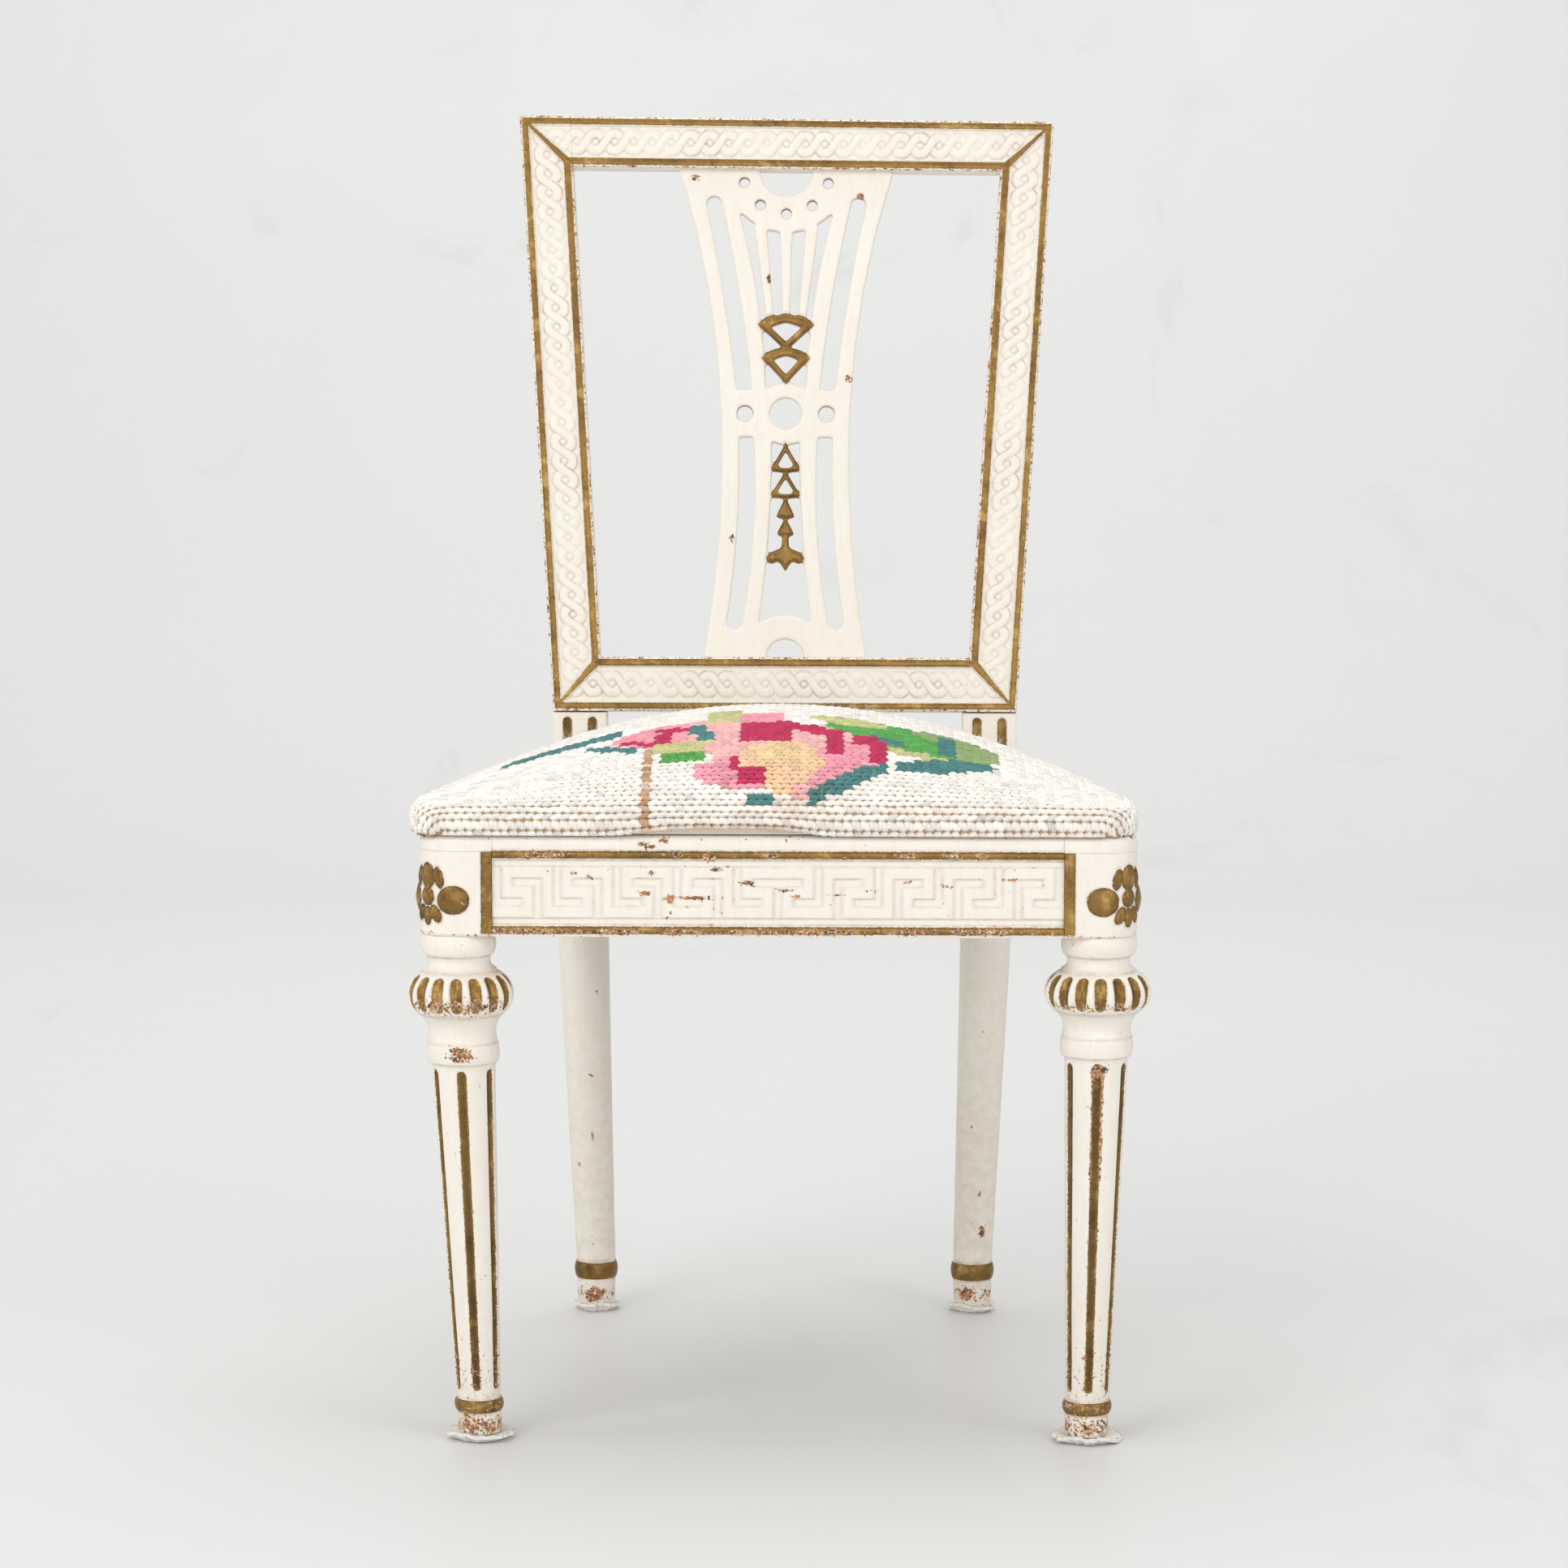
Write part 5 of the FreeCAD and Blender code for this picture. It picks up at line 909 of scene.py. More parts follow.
def rear_post(build, side):
    """Post between the rails and the back, with two gilt flutes; its foot runs into the round leg."""
    z = np.r_[POST_BOTTOM, POST_BOTTOM + 0.8, np.arange(342.0, 470.5, 1.3), 470.9]
    face, back = [(BACK_Y + d * math.cos(BACK_RAKE), BACK_Z - d * math.sin(BACK_RAKE))
                  for d in (2.5, STILE_THICKNESS)]
    yf = np.interp(z, [RAIL_TOP, face[1]], [SEAT_DEPTH, face[0]])
    yr = np.interp(z, [POST_KNEE, back[1]], [SEAT_DEPTH + POST_DEPTH, back[0]])
    yr = yr + 1.2 * np.sin(math.pi * np.clip((z - POST_KNEE) / (back[1] - POST_KNEE), 0, 1))
    shrink = np.where(z < POST_BOTTOM + 0.5, 0.8, 0.0)
    gx, gz = np.meshgrid(np.linspace(-POST_HALF, POST_HALF, 66), z)
    flute = np.full(gx.shape, OUTSIDE)
    for x in (-POST_FLUTE_X, POST_FLUTE_X):
        flute = np.maximum(flute, capsule(gx - x, gz, 429.0, 467.5, POST_FLUTE_HALF))
    cut = 1.9 * vault(flute / POST_FLUTE_HALF)
    rounding = POST_ARRIS * edge_round(POST_HALF - np.abs(gx), POST_ARRIS)
    front = np.stack([side * (gx + POST_X), yf[:, None] + cut + rounding + shrink[:, None], gz], -1)
    flank = np.linspace(0.1, 0.96, 9)
    across = np.r_[np.ones(9), np.linspace(0.94, -0.94, 9), -np.ones(9)]
    share = np.r_[flank, np.ones(9), flank[::-1]]
    rest = np.stack([side * (POST_X + across * (POST_HALF - shrink)[:, None]),
                     yf[:, None] + (yr - PEG_STAND - yf)[:, None] * share,
                     np.repeat(z[:, None], len(share), 1)], -1)
    post = np.concatenate([front, rest], 1)
    axis = np.array([side * POST_X, SEAT_DEPTH + POST_DEPTH / 2])
    corner = math.hypot(POST_HALF, POST_DEPTH / 2)
    blend_top = POST_BOTTOM + POST_BLEND
    limit = REAR_LEG_TOP + (corner - REAR_LEG_TOP) * smoothstep(z, POST_BOTTOM, blend_top)
    limit = np.where(z < blend_top, limit, 1e6)[:, None]
    around = post[..., :2] - axis
    drawn_in = np.minimum(1, limit / np.hypot(around[..., 0], around[..., 1]))
    post[..., :2] = axis + around * drawn_in[..., None]
    # Painted shade in the flutes and along their edges, over some grime.
    post_grime_and_shade = 0.5 * hump(flute, 0.6) + 0.5 * smoothstep(flute, 0.3, 2.4)
    pad = np.zeros((len(z), len(share)))
    worn = np.concatenate([0.06 + 0.15 * hump(flute, 0.8), pad + 0.08], 1)
    gold, grime_and_shade = np.concatenate([flute, pad + OUTSIDE], 1), np.concatenate([post_grime_and_shade, pad], 1)
    build.solid(post, gold, worn, grime_and_shade, flip=side > 0)


def round_leg(build, side):
    """Round leg with its ankle ring and foot."""
    profile = turned_profile(REAR_RUNS)
    q = polar(profile[:, :1], profile[:, 1], REAR_SIDES)
    q[..., :2] *= (1 + 0.006 * wobble(q, 60.0, 31))[..., None]
    cx, cy = rear_centre(np.maximum(profile[:, 1], 39.0))
    q[..., 0] = side * (q[..., 0] + cx[:, None])
    q[..., 1] += cy[:, None]
    zz = profile[:, 1:2]
    ring = np.where((zz < REAR_RING_TOP) & (zz > REAR_RING_FOOT), 1.0, OUTSIDE)
    worn = 0.07 + 0.42 * hump(zz, 9, 14) + 0.15 * hump(zz, 30, 60)
    # Painted shade along the ankle ring's edges; the warmer, darker tone down the lower leg, a little
    # stronger on the right leg, is painted bounce light.
    grime_and_shade = 0.5 * hump(zz, 0.9, 39.6) + 0.5 * hump(zz, 0.8, 25.7)
    grime_and_shade = grime_and_shade + 0.18 * smoothstep(-zz, -330, -60) + (0.05 if side > 0 else 0.0)
    for level, angle, tall, wide in REAR_CHIPS[side]:
        worn = worn + 0.72 * hump(zz, 0.7 * tall, level) * hump(full_turn(REAR_SIDES), 0.7 * wide, angle)
    build.solid(q, ring, worn, grime_and_shade, flip=side < 0)


# Pierced splat: the sawn board of the frame, with its edges softened and its husks carved and gilt

def polygon_distance(x, s, points):
    """Signed distance inside a polygon."""
    inside = np.zeros(x.shape, bool)
    nearest = np.full(x.shape, 1e9)
    for (ax, ay), (bx, by) in zip(points, points[1:] + points[:1]):
        dx, dy = bx - ax, by - ay
        inside ^= ((ay > s) != (by > s)) & (x < dx * (s - ay) / (dy + 1e-12) + ax)
        t = np.clip(((x - ax) * dx + (s - ay) * dy) / (dx ** 2 + dy ** 2), 0, 1)
        nearest = np.minimum(nearest, np.hypot(x - ax - t * dx, s - ay - t * dy))
    return np.where(inside, nearest, -nearest)


def both_sides(right):
    return right + [(-x, s) for x, s in reversed(right) if x > 0]


RING_LEVEL, RING_OUTER, HUSK_HEIGHT = OPEN_FOOT + 186.7, 23.5, 26.5
# Half width and rise over the ring of the husks; half width, height and whether pierced of the links below.
HUSKS = ((20.5, 75.0), (17.5, 49.5))
LINKS = ((10.1, 22.0, True), (10.4, 21.0, True), (6.4, 16.5, False), (6.1, 14.5, False))
BUD = ((2.2, 0), (3.0, 10), (12.6, 14), (10.5, 20), (4.5, 21), (0, 28))
# Chips in the splat's paint, as (x, height up the back).
SPLAT_CHIPS = ((-12.8, 330.7), (56.7, 394.6), (47.9, 254.8), (-41.0, 133.0), (-70.0, 408.0))


def gilt_shapes():
    """Outlines of the gilt husks as the frame has them, and of the carving that rounds them off."""
    sawn, carved = [], []
    for half, rise in HUSKS:
        brow = RING_LEVEL + rise
        sawn.append(both_sides([(0, brow - HUSK_HEIGHT), (half, brow - HUSK_HEIGHT * 0.28),
                                (half * 0.55, brow)]))
        carved.append(both_sides([(0, brow - 4.6), (half * 0.9, brow - 10.0), (half + 0.4, brow - 7.0),
                                  (half * 0.84, brow - 2.2), (half * 0.45, brow + 0.6), (0, brow + 1.4)]))
    level = RING_LEVEL - RING_OUTER + 1.0
    for half, height, pierced in LINKS:
        foot = level - height
        sawn.append(both_sides([(half * 0.5, foot), (half, level - height * 0.8), (0, level)]))
        if pierced:
            corner = [(half * 0.4, foot), (half * 0.92, foot + 0.4), (half * 1.04, foot + 2.6),
                      (half * 0.9, foot + 5.4), (half * 0.5, foot + 4.6)]
            carved += [corner, [(-x, s) for x, s in corner]]
        else:
            carved.append(both_sides([(0, foot + 1.2), (half * 0.85, foot + 0.2), (half * 1.12, foot + 1.6),
                                      (half * 0.8, foot + 4.4), (0, foot + 8.0)]))
        level = foot + 1.0
    sawn.append(both_sides([(x, level - drop) for x, drop in BUD]))
    turn = np.linspace(0, 2 * math.pi, 14, endpoint=False)
    for side in (1, -1):
        carved.append([(side * 10.2 + 3.7 * math.cos(t), level - 18.4 + 3.7 * math.sin(t)) for t in turn])
    return sawn, carved


def bored_holes():
    """Centres and radii of the small holes of the splat."""
    holes = [(31.2, RING_LEVEL, 6.2), (-31.2, RING_LEVEL, 6.2)]
    for index in range(-2, 3):
        turn = math.radians(-90 + index * 36.5)
        holes.append((33.5 * math.cos(turn), OPEN_TOP + 33.5 * math.sin(turn), 4.0))
    return holes


def splat():
    work = bmesh.new()
    work.from_mesh(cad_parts["back_splat"].data)
    bmesh.ops.remove_doubles(work, verts=work.verts, dist=1e-6)
    c, s = math.cos(BACK_RAKE), math.sin(BACK_RAKE)
    upright = Matrix(((1, 0, 0, 0), (0, c, -s, 0), (0, s, c, 0), (0, 0, 0, 1)))
    origin = Vector((0, (BACK_Y - SHIFT) / 1000, BACK_Z / 1000))
    bmesh.ops.translate(work, verts=work.verts, vec=-origin)
    bmesh.ops.transform(work, matrix=upright, verts=work.verts)
    sawn, carved = gilt_shapes()
    for outline in carved:
        rims = [[work.verts.new((x / 1000, y / 1000, s / 1000)) for x, s in outline] for y in (6.4, 16.6)]
        work.faces.new(rims[0])
        work.faces.new(rims[1][::-1])
        for k in range(len(outline)):
            work.faces.new((rims[0][k - 1], rims[0][k], rims[1][k], rims[1][k - 1]))
    board = bpy.data.meshes.new("splat_board")
    work.to_mesh(board)
    work.free()
    holder = bpy.data.objects.new("splat_board", board)
    bpy.context.scene.collection.objects.link(holder)
    remesh = holder.modifiers.new("even", "REMESH")
    remesh.mode = "VOXEL"
    remesh.voxel_size = 0.0011
    soften = holder.modifiers.new("soften", "SMOOTH")
    soften.factor, soften.iterations = 0.5, 5
    bpy.context.view_layer.update()
    mesh = bpy.data.meshes.new_from_object(holder.evaluated_get(bpy.context.evaluated_depsgraph_get()))
    bpy.data.objects.remove(holder)
    mesh.name = "splat"
    points = np.empty(len(mesh.vertices) * 3, np.float32)
    mesh.vertices.foreach_get("co", points)
    p = points.reshape(-1, 3).astype(float) * 1000
    gold = np.full(len(p), OUTSIDE)
    for shape in sawn + carved:
        gold = np.maximum(gold, polygon_distance(p[:, 0], p[:, 2], shape))
    front = smoothstep(-p[:, 1], -9.5, -7.0)
    p[:, 1] += (np.where(gold > -1.5, 0.9, 0.0) - 1.9 * smoothstep(gold, -0.4, 2.4)) * front
    gold = np.where(p[:, 1] < 10.5, np.minimum(gold + 0.6, 3.0), OUTSIDE)
    worn = 0.02 + 0.16 * hump(p[:, 1], 1.2, 6.5) * (p[:, 1] > 6.4)
    for x, level in SPLAT_CHIPS:
        worn = worn + 0.9 * hump(p[:, 0], 3.0, x) * hump(p[:, 2], 4.0, level)
    # Dark lines round the gilt, a darker tone towards the board's back, and painted shade on the inner
    # walls of the bored holes.
    grime_and_shade = 0.4 * hump(gold, 0.7) + 0.16 * smoothstep(p[:, 1], 7.5, 10.0)
    for x, level, radius in bored_holes():
        near = hump(np.hypot(p[:, 0] - x, p[:, 2] - level), 1.1, radius)
        grime_and_shade = grime_and_shade + 1.2 * near * smoothstep(p[:, 1], 6.3, 7.3)
    world = on_back(p)
    world[:, 1] -= SHIFT
    mesh.vertices.foreach_set("co", (world / 1000).astype(np.float32).ravel())
    paint_values(mesh, (gold - OUTSIDE, worn, grime_and_shade))
    mesh.materials.clear()
    return place("splat", mesh, PAINT, "chair_frame", "painted_wood", ["back_splat"])


# Loose seat

# Room round the seat's frame, behind it and behind the cover, and how far the cover hangs over the rails.
SEAT_CLEARANCE, FRAME_REAR_GAP, COVER_REAR_GAP, OVERHANG = 1.5, 14.0, 1.5, 1.0
HALF_DEPTH = (SEAT_DEPTH - COVER_REAR_GAP + BLOCK_HALF + OVERHANG) / 2
MIDDLE_Y = -BLOCK_HALF - OVERHANG + HALF_DEPTH
EDGE_TOP, CROWN, CUSHION_FOOT = 443.0, 49.0, 424.3
CORNER, CORNER_REACH, EDGE_BEND, EDGE_FALL = 26.0, 21.0, 9.0, 21.2
EDGE_OUT = EDGE_FALL - (CORNER - CORNER_REACH)
# The padding sits a little to the left of the chair's middle.
SEAT_WIDEST, SEAT_ASIDE = 247.0, -3.5
LIFT_RISE, LIFT_MIDDLE, LIFT_REACH = 5.5, -34.0, 60.0


def half_width(y):
    return np.minimum(side_x(y, 0.0) + OVERHANG, SEAT_WIDEST)


def cushion_top(x, y):
    xi = np.clip(np.abs(x) / half_width(y), 0, 1)
    eta = np.clip(np.abs(y - MIDDLE_Y) / HALF_DEPTH, 0, 1)
    return EDGE_TOP + CROWN * (1 - xi ** 2.0) * (1 - eta ** 2.3) ** 0.85


def edge_place(a, b):
    """Nearest point of the cloth's flat middle, and how far out of it and which way (a, b) lies."""
    y = np.clip(b, -HALF_DEPTH, HALF_DEPTH) + MIDDLE_Y
    wide = half_width(y)
    cx = np.clip(a, -wide + CORNER, wide - CORNER)
    cy = np.clip(b, -HALF_DEPTH + CORNER, HALF_DEPTH - CORNER)
    away = np.hypot(a - cx, b - cy)
    return cx, cy, away, (a - cx) / np.maximum(away, 1e-6), (b - cy) / np.maximum(away, 1e-6)


def edge_drop(excess):
    turn = np.clip(excess / EDGE_BEND, 0, math.pi / 2)
    straight = np.clip(excess - EDGE_BEND * math.pi / 2, 0, None)
    return EDGE_BEND * np.sin(turn) * 0.62, EDGE_BEND * (1 - np.cos(turn)) * 0.62 + straight


def front_lift(a, b):
    """The cover has come loose and rises along the middle of its front edge."""
    return LIFT_RISE * np.exp(-(((a - LIFT_MIDDLE) / LIFT_REACH) ** 4)) * (b < 0)


def cloth_point(a, b):
    """Where a point (a, b) of the flat cloth comes to lie on the cushion."""
    cx, cy, away, ux, uy = edge_place(a, b)
    out, fall = edge_drop(np.clip(away - CORNER_REACH, 0, EDGE_FALL))
    share = fall / edge_drop(EDGE_FALL)[1]
    inner = np.minimum(away, CORNER_REACH)
    reach = inner + out - 3.2 * smoothstep(share, 0.6, 1.3)
    y = cy + uy * reach + MIDDLE_Y
    top = cushion_top(cx + ux * inner, y)
    z = top - share * (top - CUSHION_FOOT - front_lift(a, b))
    return np.stack([SEAT_ASIDE + cx + ux * reach, y, z], -1)


def cloth_frame(a, b):
    """Point and outward normal of the cloth at (a, b)."""
    d = 1.5
    normal = np.cross(cloth_point(a + d, b) - cloth_point(a - d, b),
                      cloth_point(a, b + d) - cloth_point(a, b - d))
    return cloth_point(a, b), normal / np.maximum(np.linalg.norm(normal, axis=-1, keepdims=True), 1e-9)


def cloth_grid(n, m):
    """Points (a, b) all over the flat cloth."""
    u, v = np.meshgrid(np.linspace(-1, 1, n), np.linspace(-1, 1, m), indexing="ij")
    b = v * (HALF_DEPTH + EDGE_OUT)
    return u * (half_width(np.clip(b, -HALF_DEPTH, HALF_DEPTH) + MIDDLE_Y) + EDGE_OUT), b


STITCH_WIDE, STITCH_TALL, COLUMNS, ROWS = 6.0, 5.0, 90, 84

WOOL_CREAM, WOOL_PINK, WOOL_ROSE = (0.93, 0.895, 0.84), (0.87, 0.34, 0.42), (0.53, 0.007, 0.085)
WOOL_BLUSH, WOOL_PEACH, WOOL_SAND = (0.89, 0.49, 0.48), (0.88, 0.60, 0.37), (0.84, 0.62, 0.34)
WOOL_GREEN, WOOL_LIME, WOOL_OLIVE = (0.085, 0.385, 0.07), (0.58, 0.58, 0.26), (0.27, 0.39, 0.16)
WOOL_TEAL, STAIN = (0.052, 0.21, 0.21), (0.47, 0.19, 0.03)
# Painted shade between the stitches: the canvas takes its stitches' wool colours, darkened and warmed by
# this tint.
GAP_SHADE_TINT = np.array((0.72, 0.61, 0.47))


# What is stitched, in order: a shape, its wool and its sizes in millimetres.
ROSE = (
    # Stem and bud to the left
    ("strip", WOOL_TEAL, -196, -82, -112, -58, 13), ("strip", WOOL_TEAL, -136, -94, -100, -114, 6),
    ("blob", WOOL_PINK, -72, -82, 44, 27, 0.2), ("block", WOOL_BLUSH, -64, -28, -112, -52),
    ("block", WOOL_ROSE, -90, -74, -108, -82), ("strip", WOOL_ROSE, -88, -70, -60, -76, 6),
    ("strip", WOOL_ROSE, -112, -92, -86, -106, 5), ("block", WOOL_TEAL, -62, -50, -88, -64),
    ("block", WOOL_TEAL, -56, -44, -114, -84), ("block", WOOL_LIME, -50, -30, -58, -8),
    ("block", WOOL_LIME, -90, -48, -126, -106), ("block", WOOL_GREEN, -84, -54, -138, -124),
    # Leaf to the right
    ("blob", WOOL_GREEN, 82, -84, 56, 32, -0.5), ("blob", WOOL_OLIVE, 122, -86, 40, 28, -0.9),
    ("strip", WOOL_GREEN, 66, -64, 122, -108, 17), ("blob", WOOL_LIME, 48, -50, 28, 14, -0.3),
    ("strip", WOOL_LIME, 66, -112, 120, -128, 6), ("block", WOOL_TEAL, 112, 122, -116, -62),
    ("strip", WOOL_TEAL, 60, -88, 86, -102, 6), ("blob", WOOL_TEAL, 114, -136, 38, 12, 0.28),
    # The open flower
    ("blob", WOOL_BLUSH, 8, -122, 58, 54, -0.2), ("blob", WOOL_PINK, -26, -158, 34, 17, -0.1),
    ("blob", WOOL_PINK, 46, -138, 22, 42, -0.45), ("blob", WOOL_PEACH, 0, -142, 30, 32, 0.0),
    ("blob", WOOL_SAND, 2, -134, 16, 12, 0.0), ("block", WOOL_PEACH, -4, 18, -180, -150),
    ("block", WOOL_PINK, -30, 2, -66, -32), ("block", WOOL_ROSE, -30, 6, -112, -64),
    ("strip", WOOL_ROSE, -2, -68, 46, -96, 11), ("block", WOOL_ROSE, 30, 46, -132, -94),
    ("block", WOOL_ROSE, 48, 66, -112, -88), ("block", WOOL_ROSE, 60, 72, -142, -100),
    ("block", WOOL_ROSE, -36, -28, -156, -134), ("block", WOOL_ROSE, -30, -8, -170, -150),
    ("block", WOOL_BLUSH, 10, 22, -184, -172), ("strip", WOOL_TEAL, 18, -188, 74, -144, 8),
    ("block", WOOL_TEAL, -22, -6, -192, -178),
    # A sprig on the back half
    ("blob", WOOL_GREEN, -44, 108, 46, 17, -0.55), ("blob", WOOL_LIME, -52, 118, 26, 9, -0.55),
    ("blob", WOOL_OLIVE, 40, 104, 46, 16, 0.5), ("blob", WOOL_GREEN, 50, 102, 24, 7, 0.5),
    ("strip", WOOL_TEAL, -70, 96, -30, 76, 5), ("blob", WOOL_BLUSH, 0, 92, 24, 26),
    ("blob", WOOL_PINK, -2, 98, 15, 15), ("block", WOOL_ROSE, -10, 8, 84, 104),
    ("block", WOOL_TEAL, -18, 18, 64, 72),
)


def draw_rose():
    """Colour of every stitch: a rose with a bud and a leaf, drawn from simple shapes in millimetres."""
    column, row = np.meshgrid(np.arange(COLUMNS), np.arange(ROWS), indexing="ij")
    a = (column + 0.5 - COLUMNS / 2) * STITCH_WIDE + SEAT_ASIDE
    b = (row + 0.5 - ROWS / 2) * STITCH_TALL
    colour = np.tile(np.array(WOOL_CREAM), (COLUMNS, ROWS, 1))
    ground = np.ones(a.shape, bool)

    def blob(x, y, half_x, half_y, tilt=0.0):
        c, s = math.cos(tilt), math.sin(tilt)
        u, v = (a - x) * c + (b - y) * s, (b - y) * c - (a - x) * s
        return (u / half_x) ** 2 + (v / half_y) ** 2 < 1

    def block(x0, x1, y0, y1):
        return (a > x0) & (a < x1) & (b > y0) & (b < y1)

    def strip(x0, y0, x1, y1, half):
        middle = y0 + (y1 - y0) * (a - x0) / (x1 - x0)
        return (a > x0) & (a < x1) & (np.abs(b - middle) < half)

    shapes = {"blob": blob, "block": block, "strip": strip}
    for kind, wool, *sizes in ROSE:
        mask = shapes[kind](*sizes)
        colour[mask] = wool
        ground[mask] = False
    # Rust and wear in the ground
    stripe = 1.2 * hump(a, 2.8, -91) * smoothstep(-b, 100, 112)
    drip = 0.35 * hump(a, 16.0, 8) * smoothstep(-b, 166, 186)
    rim = 0.6 * smoothstep(-b, 203, 206) * smoothstep(a, -116, -92) * smoothstep(-a, -34, -10)
    edge = 0.10 * smoothstep(-b, 178, 200)
    stain = np.maximum.reduce([stripe, drip, rim, edge]) * ground * rng.uniform(0.45, 1.0, a.shape)
    colour += (np.array(STAIN) - colour) * (0.8 * stain)[..., None]
    return colour


def chart_place(a, b):
    """Column and row of the stitch at a point of the cloth."""
    column = np.clip((a / STITCH_WIDE + COLUMNS / 2).astype(int), 0, COLUMNS - 1)
    return column, np.clip((b / STITCH_TALL + ROWS / 2).astype(int), 0, ROWS - 1)


def wool_mesh(name, points, quads, colours, yarn):
    """Mesh in millimetres with a wool colour for every face and yarn coordinates for every point."""
    points = points.reshape(-1, 3).copy()
    points[:, 1] -= SHIFT
    mesh = bpy.data.meshes.new(name)
    mesh.from_pydata((points / 1000).tolist(), [], quads.tolist())
    corner = np.concatenate([np.repeat(colours, 4, 0), np.ones((len(quads) * 4, 1))], 1)
    layer = mesh.attributes.new("wool", "FLOAT_COLOR", "CORNER")
    layer.data.foreach_set("color", np.clip(corner, 0, 1).astype(np.float32).ravel())
    uv = mesh.uv_layers.new(name="yarn")
    uv.data.foreach_set("uv", yarn.reshape(-1, 2)[quads.ravel()].astype(np.float32).ravel())
    return mesh


def cover(colours):
    """The worked canvas itself, which shows in the gaps between the stitches; its wool colours are darkened
    there as painted shade, and warmed.
    """
    n, m = 170, 150
    a, b = cloth_grid(n, m)
    quads = grid_quads(np.arange(n * m).reshape(n, m))
    column, row = chart_place(a[:-1, :-1], b[:-1, :-1])
    # The yarn coordinates sit at the strand's flank, so that the material paints its flank shade on the
    # canvas too.
    yarn = np.stack([np.zeros_like(a), np.ones_like(a)], -1)
    rust = smoothstep(-b[:-1, :-1], 150, 200).reshape(-1, 1) * np.array((0.0, 0.12, 0.34))
    tint = GAP_SHADE_TINT * colours[column, row].reshape(-1, 3) * (1 - rust)
    mesh = wool_mesh("needlepoint_cover", cloth_point(a, b), quads, tint, yarn)
    obj = place("needlepoint_cover", mesh, WOOL, "loose_seat", "needlepoint", ["seat_cover"])
    thicken(obj, 1.4, -1.0)
    return obj


def stitches(colours):
    """A fat slanting strand of yarn for every stitch; the slant turns round from row to row."""
    column, row = np.meshgrid(np.arange(COLUMNS), np.arange(ROWS), indexing="ij")
    column, row = column.ravel(), row.ravel()
    away = edge_place((column + 0.5 - COLUMNS / 2) * STITCH_WIDE, (row + 0.5 - ROWS / 2) * STITCH_TALL)[2]
    keep = away - CORNER_REACH < EDGE_FALL + 0.8
    column, row = column[keep], row[keep]
    count = len(column)
    along = np.array([-1.0, -0.55, 0.0, 0.55, 1.0])[None, :, None]
    across = np.array([-1.0, -0.45, 0.45, 1.0])[None, None, :]
    slant = np.where(row % 2 == 0, 1.0, -1.0)[:, None, None]
    long = rng.normal(1.0, 0.08, (count, 1, 1))
    fat = rng.normal(1.0, 0.08, (count, 1, 1))
    u = column[:, None, None] + 0.5 + 0.66 * long * along - 0.20 * slant * across
    v = row[:, None, None] + 0.5 + 0.25 * slant * np.sin(along * 1.3)
    v = v + 0.40 * fat * across * (1 - 0.35 * along ** 2)
    v = v + rng.normal(0.0, 0.025, (count, 1, 1))
    rise = 0.1 + 2.1 * fat * (1 - 0.7 * along ** 2) * vault(1 - across ** 2)
    p, normal = cloth_frame((u - COLUMNS / 2) * STITCH_WIDE, (v - ROWS / 2) * STITCH_TALL)
    p = p + normal * rise[..., None]
    p[..., 2] = np.maximum(p[..., 2], CUSHION_FOOT)
    yarn = np.empty((count, 5, 4, 2))
    yarn[..., 0] = 0.5 + 0.5 * along
    yarn[..., 1] = 0.5 + 0.5 * across
    quads = grid_quads(np.arange(count * 20).reshape(count, 5, 4))
    tint = colours[column, row] * rng.normal(1.0, 0.085, (count, 1))
    mesh = wool_mesh("needlepoint_stitches", p, quads, np.repeat(tint, 12, 0), yarn)
    return place("needlepoint_stitches", mesh, WOOL, "loose_seat", "needlepoint", [])


def fuzz(colours):
    """Short fibres that stand out of the wool, and the loose ends under the lifted edge of the cover."""
    count, loose = 4200, 160
    a = rng.uniform(-0.5, 0.5, count) * COLUMNS * STITCH_WIDE
    b = rng.uniform(-0.5, 0.5, count) * ROWS * STITCH_TALL
    a[-loose:] = rng.uniform(-110, 20, loose)
    b[-loose:] = -HALF_DEPTH - EDGE_OUT + rng.uniform(0.4, 2.5, loose)
    keep = edge_place(a, b)[2] - CORNER_REACH < EDGE_FALL - 0.3
    a, b = a[keep], b[keep]
    count = len(a)
    p, normal = cloth_frame(a, b)
    length = rng.uniform(1.5, 5.0, count)
    heading = normal + rng.normal(0.0, 0.55, (count, 3))
    bend = rng.normal(0.0, 0.5, (count, 3))
    t = np.linspace(0, 1, 4)[None, :, None]
    sweep = heading[:, None] * t + bend[:, None] * t ** 2
    path = (p + normal * 1.2)[:, None] + length[:, None, None] * sweep
    path[..., 2] = np.maximum(path[..., 2], RAIL_TOP - 1.0 + 1.6 * (normal[:, None, 2] > 0.5))
    side = np.cross(heading, rng.normal(size=(count, 3)))
    side *= 0.05 / np.linalg.norm(side, axis=-1, keepdims=True)
    ribbon = np.stack([path - side[:, None], path + side[:, None]], 2)
    quads = grid_quads(np.arange(count * 8).reshape(count, 4, 2))
    column, row = chart_place(a, b)
    yarn = np.full((count, 4, 2, 2), 0.5)
    mesh = wool_mesh("wool_fuzz", ribbon, quads, np.repeat(colours[column, row], 3, 0), yarn)
    return place("wool_fuzz", mesh, WOOL, "loose_seat", "needlepoint", [])


